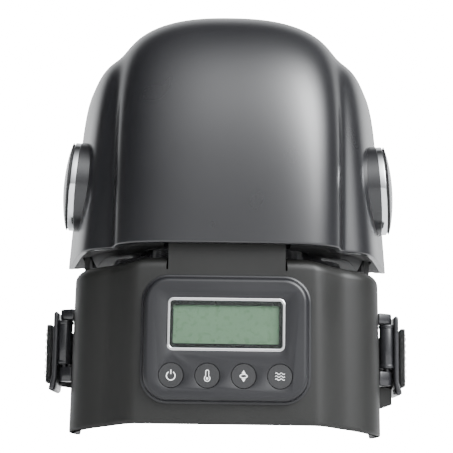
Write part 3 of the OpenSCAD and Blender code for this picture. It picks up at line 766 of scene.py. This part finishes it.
def make_disc(name, side):
    place = disc_frame(side)
    r, inner, edge, foot = DISC_R - 0.05, HUB_R + 0.1, 0.7, SEAT_TOP + 0.06
    rounded = [(r - edge * (1 - math.cos(a)), -edge + edge * math.sin(a)) for a in np.linspace(0, math.pi / 2, 6)]
    ring = new_piece(f"disc_ring_{name}", *revolve([(inner, foot), (r, foot), *rounded, (inner, 0)], place),
                     CHROME, "dome", crease=40)
    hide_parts(f"pivot_ring_{name}")
    r, foot, crown = DISC_R - 0.2, 1.15, 3.6
    dome = [(r * u, foot + 0.5 + crown * (1 - u * u) - 0.3 * u ** 12) for u in np.linspace(0, 0.995, 28)]
    cap = new_piece(f"disc_cap_{name}", *revolve([*dome, (r, foot + 0.1), (r - 0.4, foot), (0, foot)], place),
                    CAP, "dome")
    merge_close(cap)
    smooth_by_angle(cap, 40)
    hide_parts(f"pivot_cap_{name}")


# ---------------------------------------------------------------- the shin shell

SHELL_LOW, SHELL_HIGH = corners("shin_shell")
TONGUE_LOW, TONGUE_HIGH = corners("shin_tongue")
SHELL_REAR = 28.0
FACE_Y = SHELL_LOW[1]
SHELL_DEPTH = SHELL_REAR - FACE_Y
SHELL_TOP = SHELL_HIGH[2]
SHELL_HALF = 93.0
SIDE_ROUND = 5.5
STEP = 8.5
STEP_X = 60.5
STEP_W = 20.0
ARCH_Z = 4.7
CORNER_RISE = 3.0
TOP_FALL = 4.0
FLARE = 1.3
ROLL_R = 7.0
SLIT_W = 1.2
SLIT_END = 93.4
TONGUE_HALF = TONGUE_HIGH[0]
TONGUE_TOP = TONGUE_HIGH[2]
TIP_R = 3
FIRST_PARTED_ROW = 30
BOARD_OPENING = (89.7, 66, 12)
BEZEL_LOW, BEZEL_HIGH = corners("control_bezel")
BEZEL_Z = (BEZEL_LOW[2] + BEZEL_HIGH[2]) / 2
BEZEL_FRONT = BEZEL_LOW[1]


def shell_reach(x, side_inset, front_inset):
    """How far the shell reaches forwards at a distance x from the middle."""
    curve = np.maximum(0, 1 - (x / (SHELL_HALF - side_inset)) ** SIDE_ROUND) ** (1 / SIDE_ROUND)
    return (SHELL_DEPTH - STEP - front_inset) * curve + STEP * (1 - ease((x + side_inset - STEP_X) / STEP_W + 0.5))


def outline(turn, side_inset, front_inset):
    """Point of the shell's outline, seen from above."""
    side, fore = np.abs(np.sin(turn)), np.cos(turn)

    def is_outside(r):
        return (r * fore > shell_reach(r * side, side_inset, front_inset)) | (r * side > SHELL_HALF - side_inset)

    low = np.zeros(np.broadcast(turn, side_inset, front_inset).shape)
    r = halve(is_outside, low, low + 160.0)
    return r * np.sin(turn), SHELL_REAR - r * fore


def turn_at(x):
    """Turn at which the outer outline is x from the middle."""
    return float(halve(lambda turn: outline(turn, 0, 0)[0] >= x, 0.0, math.radians(60), 40))


def wall_rows(turn, depth, tongue):
    """Points up the shell's wall at each turn: a rolled top, or a tongue that goes straight up."""
    degrees = np.degrees(np.abs(turn))
    foot = ARCH_Z * (1 - ease((degrees - 27) / 30)) + CORNER_RISE * ease((degrees - 84) / 5)
    shoulder = SHELL_TOP - TOP_FALL * ease((degrees - 21) / 25) - ROLL_R
    roll = ROLL_R - depth
    rows = []
    for k in np.concatenate([[0, 0.004, 0.012, 0.025], np.linspace(0.05, 0.95, 26)]):
        z = foot + (shoulder - foot) * k
        inset = depth + (edge_round(z - foot) if depth == 0 else 0)
        rows.append((z, inset - FLARE * (1 - z / SHELL_TOP), inset))
    rows.append((np.where(tongue, SLIT_END, np.minimum(shoulder, SLIT_END)), depth - FLARE * 0.07, depth))
    tip = np.abs(outline(turn, 0, 0)[0]) - (TONGUE_HALF - TIP_R)
    round_off = TIP_R - np.sqrt(np.clip(TIP_R ** 2 - np.minimum(tip, TIP_R) ** 2, 0, TIP_R ** 2))
    tongue_top = TONGUE_TOP - np.where(tip > 0, round_off, 0)
    for a in np.linspace(0, 1, 15)[1:]:
        angle = a * math.pi / 2
        z = np.where(tongue, SLIT_END + (tongue_top - SLIT_END) * a, shoulder + roll * math.sin(angle))
        inset = np.where(tongue, depth, ROLL_R - roll * math.cos(angle))
        rows.append((z, inset - FLARE * np.clip(1 - z / SHELL_TOP, 0, 1), inset))
    return np.stack([stack(*outline(turn, side_inset, front_inset), z) for z, side_inset, front_inset in rows], 1)


def make_front_shell():
    """Shell and tongue in one piece, parted above the slits' ends."""
    inside, outside = turn_at(TONGUE_HALF), turn_at(TONGUE_HALF + SLIT_W)
    half = np.concatenate([np.linspace(0, inside, 31), [(inside + outside) / 2],
                           np.linspace(outside, math.radians(POLE), 111)])
    turn = np.concatenate([-half[:0:-1], half])
    tongue = np.abs(turn) <= inside + 1e-9
    outer, inner = wall_rows(turn, 0.0, tongue), wall_rows(turn, WALL, tongue)
    cells = np.ones((len(turn) - 1, outer.shape[1] - 1), bool)
    slit = (np.abs(turn) > inside + 1e-9) & (np.abs(turn) < outside - 1e-9)
    for i in np.nonzero(slit)[0]:
        cells[i - 1:i + 1, FIRST_PARTED_ROW:] = False
        for points in (outer, inner):
            points[i, FIRST_PARTED_ROW, 2] -= SLIT_W / 2
    piece = new_piece("front_shell", *sheet_solid(outer, inner, cells), SHELL, "shin")
    cut(piece, *prism(round_rect(*BOARD_OPENING), "y", (FACE_Y - 5, FACE_Y + 8), (0, BEZEL_Z)))
    arm_low, arm_high = corners("side_arm_right")
    front, rear = arm_low[1] - 0.4, arm_high[1] + 0.4
    bottom, top = SHELL_TOP - 16, SHELL_TOP + 2
    for side in SIDES.values():
        cut(piece, *prism([(front, bottom), (rear, bottom), (rear, top), (front, top)], "x", (80.0, 88.6), side=side))
    smooth_by_angle(piece, 40)
    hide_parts("shin_shell", "shin_tongue")


# ---------------------------------------------------------------- controls

BEZEL_R = 16.0
FILLET = 3.4
LIP = 0.7
BUTTON_HOLE_R = 7.2
ICON_T = 0.12


def make_bezel():
    width, height = BEZEL_HIGH[0] - BEZEL_LOW[0], BEZEL_HIGH[2] - BEZEL_LOW[2]
    start = FACE_Y - LIP - 0.6
    rings = [(7.0, FACE_Y + 2.4), (7.0, FACE_Y - 0.1), (0.4, FACE_Y - 0.1), (0.0, FACE_Y - 0.4), (0.0, FACE_Y - LIP),
             (0.5, FACE_Y - LIP - 0.45), (1.3, start)]
    rings += [(1.3 + FILLET * (1 - math.cos(a)), start + (BEZEL_FRONT - start) * math.sin(a))
              for a in np.linspace(0, math.pi / 2, 12)]
    solid = []
    for inset, y in rings:
        border = round_rect(width - 2 * inset, height - 2 * inset, max(2, BEZEL_R - inset), 14)
        solid.append([(x, y, BEZEL_Z + z) for x, z in border])
    piece = new_piece("bezel_body", *loft(solid), BEZEL, "shin")
    through = (BEZEL_FRONT - 2, FACE_Y)
    display_low, display_high = corners("display_frame")
    window = round_rect(display_high[0] - display_low[0] + 0.2, display_high[2] - display_low[2] + 0.2, 3.6)
    pocket = round_rect(width - 12, height - 12, BEZEL_R - 6)
    cut(piece, *prism(pocket, "y", (BEZEL_FRONT + 2.2, FACE_Y + 5), (0, BEZEL_Z)))
    cut(piece, *prism(window, "y", through, (0, (display_low[2] + display_high[2]) / 2)))
    turns = [2 * math.pi * k / 64 for k in range(64)]
    hole = [(BUTTON_HOLE_R * math.cos(a), BUTTON_HOLE_R * math.sin(a)) for a in turns]
    for name in ICONS:
        centre = sum(corners(f"button_{name}")) / 2
        cut(piece, *prism(hole, "y", through, (centre[0], centre[2])))
    add_bevel(piece, 0.00025, 2, 50)
    apply_modifiers(piece)
    smooth_by_angle(piece, 40)
    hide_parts("control_bezel")


def ribbon(path, width, closed=False):
    """Flat strip along a path in the x-z plane: vertices (x, depth, z) and faces."""
    path = [np.array(p, float) for p in path]
    count = len(path)
    rings = []
    for k, point in enumerate(path):
        before = path[k - 1] if (k > 0 or closed) else point
        after = path[(k + 1) % count] if (k < count - 1 or closed) else point
        along = (after - before) / np.linalg.norm(after - before)
        across = np.array([-along[1], along[0]]) * width / 2
        a, b = point + across, point - across
        rings.append([(a[0], 0, a[1]), (b[0], 0, b[1]), (b[0], -ICON_T, b[1]), (a[0], -ICON_T, a[1])])
    return loft(rings + rings[:1] if closed else rings, closed_ends=not closed)


def arc(cx, cz, rx, rz, start, end, steps):
    angles = np.radians(np.linspace(start, end, steps + 1))
    return [(cx + rx * math.cos(a), cz + rz * math.sin(a)) for a in angles]


def full_circle(cx, cz, rx, rz):
    return arc(cx, cz, rx, rz, 0, 360, 28)[:-1]


def patch(points):
    """Filled flat shape."""
    return prism(points, "y", (0, -ICON_T))


def power_icon():
    return [ribbon(arc(0, -0.3, 2.45, 2.45, 122, 418, 32), 0.55), ribbon([(0, 3.1), (0, 0.7)], 0.55)]


def heat_icon():
    stem, bulb = arc(0, 2.3, 0.85, 0.85, 0, 180, 12), arc(0, -1.6, 1.6, 1.6, 122, 418, 24)
    return [ribbon([(0.85, -0.2), *stem, *bulb], 0.42, closed=True), patch(full_circle(0, -1.6, 0.7, 0.7))]


def pressure_icon():
    up = [(0, 3.4), (-1.1, 1.45), (1.1, 1.45)]
    down = [(0, -3.4), (1.1, -1.45), (-1.1, -1.45)]
    return [ribbon(full_circle(0, 0, 2.0, 1.05), 0.55, closed=True), patch(up), patch(down)]


def vibration_icon():
    reach, rise, apart = 2.7, 0.45, 1.65
    return [ribbon([(x, level + rise * math.sin(x / reach * 2 * math.pi)) for x in np.linspace(-reach, reach, 33)], 0.3)
            for level in (-apart, 0, apart)]


ICONS = {"power": power_icon, "heat": heat_icon, "pressure": pressure_icon, "vibration": vibration_icon}


def make_icons():
    for name, shapes in ICONS.items():
        low, high = corners(f"button_{name}")
        centre = (low + high) / 2
        for k, (vertices, faces) in enumerate(shapes()):
            placed = [(centre[0] + x, low[1] + y - 0.004, centre[2] + z) for x, y, z in vertices]
            piece = new_piece(f"icon_{name}_{k + 1}", placed, faces, ICON, f"{name}_key", "button_black")
            piece.data.shade_flat()
            merge_close(piece)


# ---------------------------------------------------------------- soft pieces

CUP = (62.0, 66.0, 122.0)
CUP_ROUND = 2.6
SEAM_W = 0.028
PIPING_R = 0.9
STITCH = 2.4
STITCH_GAP = 1.5
THREAD_R = 0.28
COLLAR_TOP = 112
COLLAR_FOOT = 89.8


def cup_points(turn, lift):
    """Point on the hollow that holds the knee."""
    side = np.abs(np.sin(turn)) / CUP[0]
    fore, up = np.cos(turn) * np.cos(lift) / CUP[1], np.cos(turn) * np.sin(lift) / CUP[2]
    return from_polar(1 / superellipse(side, superellipse(fore, up, CUP_ROUND), CUP_ROUND), turn, lift)


def crumple(u, v, seed, scale, count=10):
    """Smooth uneven field, about -1 to 1, from a few crossed waves."""
    random = np.random.default_rng(seed)
    total = 0
    for _ in range(count):
        a, b = random.normal(0, scale, 2)
        total = total + np.sin(a * u + b * v + random.uniform(0, 2 * math.pi))
    return total / math.sqrt(count)


def seam_field(distance, width):
    return np.exp(-np.abs(distance / width) ** 1.4)


def cushion(name, faces, across, down, seed, body, puff, node):
    """Stuffed pad between an outer and an inner grid of points, pulled in along its sewn lines, with a piped border."""
    outer, inner = faces
    rows, columns = outer.shape[:2]
    u, v = np.linspace(0, 1, rows)[:, None], np.linspace(0, 1, columns)[None, :]
    middle, half = (outer + inner) / 2, (inner - outer) / 2
    border = (1 - np.abs(2 * u - 1) ** 9) ** 0.4 * (1 - np.abs(2 * v - 1) ** 9) ** 0.4
    seam = np.zeros((rows, columns))
    for lines, way in ((across, v), (down, u)):
        for place in lines:
            seam = np.maximum(seam, seam_field(way - place, SEAM_W))
    pull = crumple(u * 6, v * 6, seed, 5.0) * seam_field(1 - seam, 0.7)
    swell = border * (1 - puff * seam) * (1 + 0.035 * crumple(u, v, seed + 1, 9) + 0.05 * pull)
    face = middle + half * swell[..., None]
    back = middle - half * (border * (1 - 0.1 * seam))[..., None]
    piece = new_piece(name, *sheet_solid(back, face), PAD, body)
    merge_close(piece, 2e-5)
    smooth_by_angle(piece, 80)
    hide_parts(node)
    for k, place in enumerate(across):
        row = int(round(place * (columns - 1)))
        stitches(f"{name}_thread_{k + 1}", face[3:-3, row], half[3:-3, row], body, "pad_fabric")
    welt = np.concatenate([middle[:, 0], middle[-1, 1:], middle[-2::-1, -1], middle[0, -2:0:-1]])
    piping(f"{name}_piping", welt, body)


def piping(name, path, body):
    """Round cord in a closed loop."""
    keep = [0]
    for k in range(1, len(path)):
        if np.linalg.norm(path[k] - path[keep[-1]]) > 1.2:
            keep.append(k)
    path = path[keep]
    rings = []
    across = None
    for k, point in enumerate(path):
        along = path[(k + 1) % len(path)] - path[k - 1]
        along = along / np.linalg.norm(along)
        if across is None:
            across = np.cross(along, (0.3, 0.5, 0.8))
        across = across - along * across.dot(along)
        across /= np.linalg.norm(across)
        other = np.cross(along, across)
        rings.append([point + PIPING_R * (across * math.cos(a) + other * math.sin(a))
                      for a in np.linspace(0, 2 * math.pi, 8, endpoint=False)])
    new_piece(name, *loft(rings + rings[:1], closed_ends=False), PAD, body)


def stitches(name, path, lift_way, body, slot):
    """Row of sewn stitches on a path; lift_way points out of the cloth."""
    path, lift_way = np.asarray(path, float), np.asarray(lift_way, float)
    steps = np.concatenate([[0], np.cumsum(np.linalg.norm(np.diff(path, axis=0), axis=1))])

    def along_path(values, t):
        return np.array([np.interp(t, steps, values[:, i]) for i in range(3)])

    vertices, faces = [], []
    start = 1.0
    while start + STITCH < steps[-1] - 1:
        ends = [along_path(path, t) for t in (start, start + STITCH)]
        way = along_path(lift_way, start)
        way /= np.linalg.norm(way)
        along = (ends[1] - ends[0]) / np.linalg.norm(ends[1] - ends[0])
        side = np.cross(along, way)
        rings = []
        for t, r, h in ((0, 0.4, -0.35), (0.2, 1, 0.1), (0.5, 1.1, 0.2), (0.8, 1, 0.1), (1, 0.4, -0.35)):
            centre = ends[0] + (ends[1] - ends[0]) * t + way * (THREAD_R * 0.6 + h * 0.5)
            rings.append([centre + THREAD_R * r * (side * math.cos(a) + way * math.sin(a))
                          for a in np.linspace(0, 2 * math.pi, 6, endpoint=False)])
        more, quads = loft(rings)
        faces += [tuple(len(vertices) + i for i in quad) for quad in quads]
        vertices += more
        start += STITCH + STITCH_GAP
    new_piece(name, vertices, faces, THREAD, body, slot)


def knee_faces(turns, lifts, depth, size):
    """Outer and inner faces of a pad between the liner and the hollow, thinner near the rim."""
    turn, lift = spread(*turns, size[0]), np.radians(np.linspace(*lifts, size[1]))[None, :]
    if lifts[0] < 5:
        depth = 2.6 + (depth - 2.6) * ease((np.degrees(lift) - 7) / 6)
    return dome_points(turn, lift, liner_depth(depth)), cup_points(turn, lift)


def make_pads():
    cushion("knee_cushion", knee_faces((-39.3, 39.3), (9.2, 80.8), 3.6, (120, 130)), (0.2, 0.4, 0.6, 0.8), (0.25, 0.75),
            3, "dome", 0.4, "knee_pad")
    for k, (name, side) in enumerate(SIDES.items()):
        faces = knee_faces((50.5 * side, 79.5 * side), (2.6, 82.4), 6.6, (70, 130))
        cushion(f"side_cushion_{name}", faces, (0.25, 0.5, 0.75), (), 11 + k, "dome", 0.45, f"side_pad_{name}")
    turn, height = spread(-73.6, 73.6, 170), np.linspace(13.4, 88.6, 70)[None, :]
    r = 1 / superellipse(np.abs(np.sin(turn)) / 70, np.cos(turn) / 64, CUP_ROUND)
    faces = (stack(*outline(turn, 12.3, 27.3), height), stack(r * np.sin(turn), SHELL_REAR - r * np.cos(turn), height))
    cushion("shin_cushion", faces, (0.33, 0.66), (0.2, 0.4, 0.6, 0.8), 23, "shin", 0.4, "shin_pad")


def make_collar():
    """Gathered cloth collar between the shin cushion and the dome's liner."""
    turn, t = spread(-77.5, 77.5, 220), np.linspace(0, 1, 64)[None, :]
    degrees = np.degrees(np.abs(turn))
    top = COLLAR_TOP - 5.4 * ease((degrees - 47) / 3.5) - 5.8 * ease((degrees - 58) / 8)
    bend = ease((t - 0.5) / 0.17)[..., None]
    fold = 0.28 * np.sin(turn * 95 + 2 * crumple(turn, t, 5, 4)) * np.sin(math.pi * t) ** 0.6
    edge = np.sin(math.pi * np.clip(t, 0.01, 0.99)) ** 0.25
    sheets = []
    for depth in (0.2, 2.8):
        head = dome_points(turn, np.zeros((1, 1)), liner_depth(5.2 + depth))
        foot = stack(*outline(turn, 12.5 + depth, 27.5 + depth), np.full_like(turn, COLLAR_FOOT))
        points = foot * (1 - bend) + head * bend
        points[..., 2] = COLLAR_FOOT + (top - COLLAR_FOOT) * t
        away = points - np.array([0, REAR_Y, 0])
        away[..., 2] = 0
        away /= np.linalg.norm(away, axis=-1, keepdims=True)
        sheets.append(points + away * (fold - (edge - 1) * (depth - 1.5) * 0.8)[..., None])
    piece = new_piece("cloth_collar", *sheet_solid(*sheets), PAD, "shin", crease=60)
    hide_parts("shin_collar")


# ---------------------------------------------------------------- strap and buckles

STRAP_HALF = 111.1
STRAP_R = 62.0
STRAP_START = -12.0
STRAP_TURN = 18.0
STRAP_INSET = 2.0
# Of each side's webbing: how far it lies inside the strap's back, and where it ends across the back
STRAP_ENDS = {"left": (3.75, -30.0), "right": (1.25, -34.0)}
# Where the webbing stops following the buckle and where it follows the shin part, in metres
FOLD_LOW, FOLD_HIGH = corners("strap_end_right")
# Line of the webbing folded through the buckle's window, seen from above
FOLD = [(107.0, -2.0), (106.9, 1.0), (106.3, 3.2), (104.6, 4.6), (102.6, 5.2), (101.3, 6.6), (100.9, 9.0),
        (100.9, 12.0), (101.6, 14.6), (103.3, 16.4), (105.2, 17.2), (106.4, 17.4)]


def strap_line(inset_back, to_x):
    """Centre line of the strap on the right: along the side, round the calf and across the back."""
    turn_x, back = STRAP_HALF - STRAP_R, corners("calf_strap")[1][1]
    points = [(STRAP_HALF - STRAP_INSET, y) for y in np.linspace(STRAP_START, STRAP_TURN, 16)]
    for a in np.linspace(0, math.pi / 2, 40)[1:]:
        r = STRAP_R - (STRAP_INSET + (inset_back - STRAP_INSET) * ease(a / 1.3))
        points.append((turn_x + r * math.cos(a), STRAP_TURN + r * math.sin(a)))
    points += [(x, back - inset_back) for x in np.linspace(turn_x, to_x, 36)[1:]]
    return np.array(points, float)


def band(name, line, thick, low, high, side, seed):
    """Strip of webbing on edge along a line seen from above. Thickness runs from the line's start to its end."""
    step = np.concatenate([[0], np.cumsum(np.linalg.norm(np.diff(line, axis=0), axis=1))])
    along = np.gradient(line, axis=0)
    along /= np.linalg.norm(along, axis=1, keepdims=True)
    widths = np.interp(step, [0, step[-1] * 0.45, step[-1]], [thick[0], thick[1], thick[1]])
    rings = []
    for (x, y), (way_x, way_y), s, width in zip(line, along, step, widths):
        t = s / step[-1]
        end = min(1, math.sqrt(max(0.0, 1 - max(0, 1 - min(s, step[-1] - s) / 2.5) ** 2)) + 0.25)
        middle = (low + high) / 2
        drift = 0.25 * crumple(t * 9, 0, seed, 4)
        ring = []
        for across, z in round_rect(width * (0.6 + 0.4 * end), (high - low) * (0.94 + 0.06 * end), 0.9, 4):
            out = across + 0.22 * crumple(t * 16, z / 12, seed + 1, 2.5)
            ring.append((side * (x + way_y * out), y - way_x * out, middle + z + drift))
        rings.append(ring)
    return new_piece(name, *loft(rings), STRAP, crease=50)


def make_strap():
    low_z, high_z = FOLD_LOW[2], FOLD_HIGH[2]
    box = [(-9.5, low_z + 4), (1.5, low_z + 4), (1.5, high_z - 4), (-9.5, high_z - 4), (-9.5, low_z + 4)]
    sewn = [(ya + (yb - ya) * t, za + (zb - za) * t)
            for (ya, za), (yb, zb) in zip(box, box[1:]) for t in np.linspace(0, 1, 12)]
    places = np.linspace(0, len(FOLD) - 1, 60)
    loop = np.stack([np.interp(places, range(len(FOLD)), values) for values in zip(*FOLD)], -1)
    for _ in range(6):
        loop[1:-1] = (loop[:-2] + 2 * loop[1:-1] + loop[2:]) / 4
    for name, side in SIDES.items():
        line = strap_line(*STRAP_ENDS[name])
        piece = band(f"strap_band_{name}", line, (3.4, 2.1), low_z + 0.2, high_z - 0.2, side, 40 + side)
        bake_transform(piece)
        if side < 0:
            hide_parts("calf_strap")
        fold = band(f"strap_fold_{name}", loop, (1.5, 1.5), low_z + 0.5, high_z - 0.5, side, 50 + side)
        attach(fold, f"buckle_{name}")
        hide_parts(f"strap_end_{name}")
        row = [(side * (STRAP_HALF - 0.05), y, z) for y, z in sewn]
        stitches(f"strap_thread_{name}", row, [(side, 0, 0)] * len(row), f"buckle_{name}", "webbing")


BAR = (98.6, -16.0)
NOSE = (41.6, 68.4)
BUCKLE_LOW, BUCKLE_HIGH = corners("hook_buckle_right")
# Bracket lugs: their seat's distance from the middle, bottom and top
LUGS = ((93.3, 31.2, 39.8), (92.9, 68.7, 75.2))


def round_bar(radius, turns):
    """Points round the bracket's bar, seen from above."""
    return [(BAR[0] + radius * math.cos(t), BAR[1] + radius * math.sin(t)) for t in turns]


def hook_outline(outer, inner, slot):
    """C shape round the bar, open towards the leg."""
    a, b = math.pi - math.asin(slot / outer), math.pi - math.asin(slot / inner)
    return round_bar(outer, np.linspace(-a, a, 30)) + round_bar(inner, np.linspace(b, -b, 30))


def upright(name, points, heights, side, body, bevel):
    """Straight body between two heights with rounded edges."""
    piece = new_piece(name, *prism(points, "z", heights, side=side), BUCKLE, body)
    if bevel:
        add_bevel(piece, bevel * MM, 3, 40)
        apply_modifiers(piece)
    smooth_by_angle(piece, 35)
    return piece


def make_buckle_frame(name, side):
    """Flat frame with a window for the webbing, thicker and further out at its foot."""
    low, high = BUCKLE_LOW, BUCKLE_HIGH
    rings = []
    for z in np.concatenate([np.linspace(low[2] - 0.6, low[2] + 11, 16), np.linspace(low[2] + 13, high[2] - 1.5, 12),
                             high[2] - 1.5 + 1.5 * np.sin(np.linspace(0.25, 1, 5) * math.pi / 2)]):
        foot = float(ease((low[2] + 9 - z) / 9))
        tip = math.sqrt(max(0.04, 1 - max(0, (z - high[2] + 1.5) / 1.55) ** 2))
        tail = math.sqrt(max(0.05, 1 - max(0, (low[2] + 1.0 - z) / 1.65) ** 2))
        end = min(tip, tail)
        thick = (3.0 + 0.9 * foot) * end
        border = round_rect(thick, (high[1] - low[1]) * (1 - 0.06 * (1 - end)), min(1.2, thick * 0.45), 5)
        rings.append([(side * (104.1 + 1.5 * foot + x), (low[1] + high[1]) / 2 + y, z) for x, y in border])
    piece = new_piece(f"buckle_frame_{name}", *loft(rings), BUCKLE, f"buckle_{name}")
    window = round_rect(14.0, FOLD_HIGH[2] - FOLD_LOW[2] + 1.2, 1.6)
    cut(piece, *prism(window, "x", (99, 110), (1, (FOLD_LOW[2] + FOLD_HIGH[2]) / 2), side))
    smooth_by_angle(piece, 40)
    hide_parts(f"hook_buckle_{name}")


def make_buckles():
    for name, side in SIDES.items():
        body = f"buckle_{name}"
        make_buckle_frame(name, side)
        upright(f"buckle_hook_{name}", hook_outline(4.6, 2.12, 1.0), NOSE, side, body, 0.7)
        for k, level in enumerate((NOSE[0] + 0.15, NOSE[1] - 2.35)):
            upright(f"buckle_collar_{name}_{k + 1}", hook_outline(5.0, 2.3, 1.2), (level, level + 2.2), side, body, 0.4)
        for k, (seat, bottom, top) in enumerate(LUGS):
            shape = [(seat, -23), (seat + 1.6, -22.6), *round_bar(3.1, np.linspace(-1.15, 1.15, 20)),
                     (seat + 1.6, -9.4), (seat, -9)]
            lug = upright(f"bracket_lug_{name}_{k + 1}", shape, (bottom, top), side, "shin", 0.9)
            if k == 0:
                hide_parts(f"strap_bracket_{name}")
        circle = round_bar(2, np.linspace(0, 2 * math.pi, 33)[:-1])
        upright(f"bracket_bar_{name}", circle, (38, 70), side, "shin", 0)


# ---------------------------------------------------------------- carried-over CAD nodes

def soften(node, width, segments=2):
    """Rounds a CAD node's edges with modifiers; its own mesh stays as packed."""
    piece = NODES[node]
    piece.modifiers.new("weld", "WELD").merge_threshold = 1e-6
    add_bevel(piece, width, segments, 35).harden_normals = False


def paint(material, *nodes):
    for node in nodes:
        piece = NODES[node]
        piece.data.materials.clear()
        piece.data.materials.append(material)


def both(name):
    return [f"{name}_{side}" for side in SIDES]


def paint_nodes():
    paint(DOME, "dome_shell")
    paint(SHELL, "shin_shell", "shin_tongue", "charging_inlet")
    paint(BEZEL, "control_bezel")
    paint(INNER, "dome_liner", "rear_trim", "shin_liner", "bottom_cover", "top_cover", *both("side_arm"),
          *both("pivot_hub"), *both("motor_clamp"))
    paint(PAD, "knee_pad", *both("side_pad"), "shin_pad", "shin_collar")
    paint(STRAP, "calf_strap", *both("strap_end"))
    paint(BUCKLE, *both("strap_bracket"), *both("hook_buckle"))
    paint(CHROME, *both("pivot_ring"))
    paint(CAP, *both("pivot_cap"))
    paint(BRIGHT, "display_frame")
    paint(MASK, "display_mask")
    paint(LCD, "lcd_panel")
    paint(WINDOW, "display_window")
    paint(KEY, *[f"button_{name}" for name in ICONS], "switches")
    paint(STEEL, *both("pivot_pin"), "case_screws", *both("vibration_motor"))
    paint(BRASS, *both("motor_weight"))
    paint(NYLON, *both("pivot_bush"))
    paint(AIR_FILM, *both("air_bag"))
    paint(HEATER, "heating_film")
    paint(PUMP, "air_pump", "air_valve")
    paint(BOARD, "control_board")
    paint(BATTERY, "battery_pack")


def soften_nodes():
    for name in ICONS:
        soften(f"button_{name}", 0.0003)
    soften("charging_inlet", 0.0008, 3)
    soften("display_frame", 0.00035)
    soften("battery_pack", 0.0006)


paint_nodes()
soften_nodes()
make_dome()
make_liner()
make_rim_flange()
make_rear_trim()
for side_name, side_sign in SIDES.items():
    make_disc(side_name, side_sign)
make_front_shell()
make_bezel()
make_icons()
make_pads()
make_collar()
make_strap()
make_buckles()
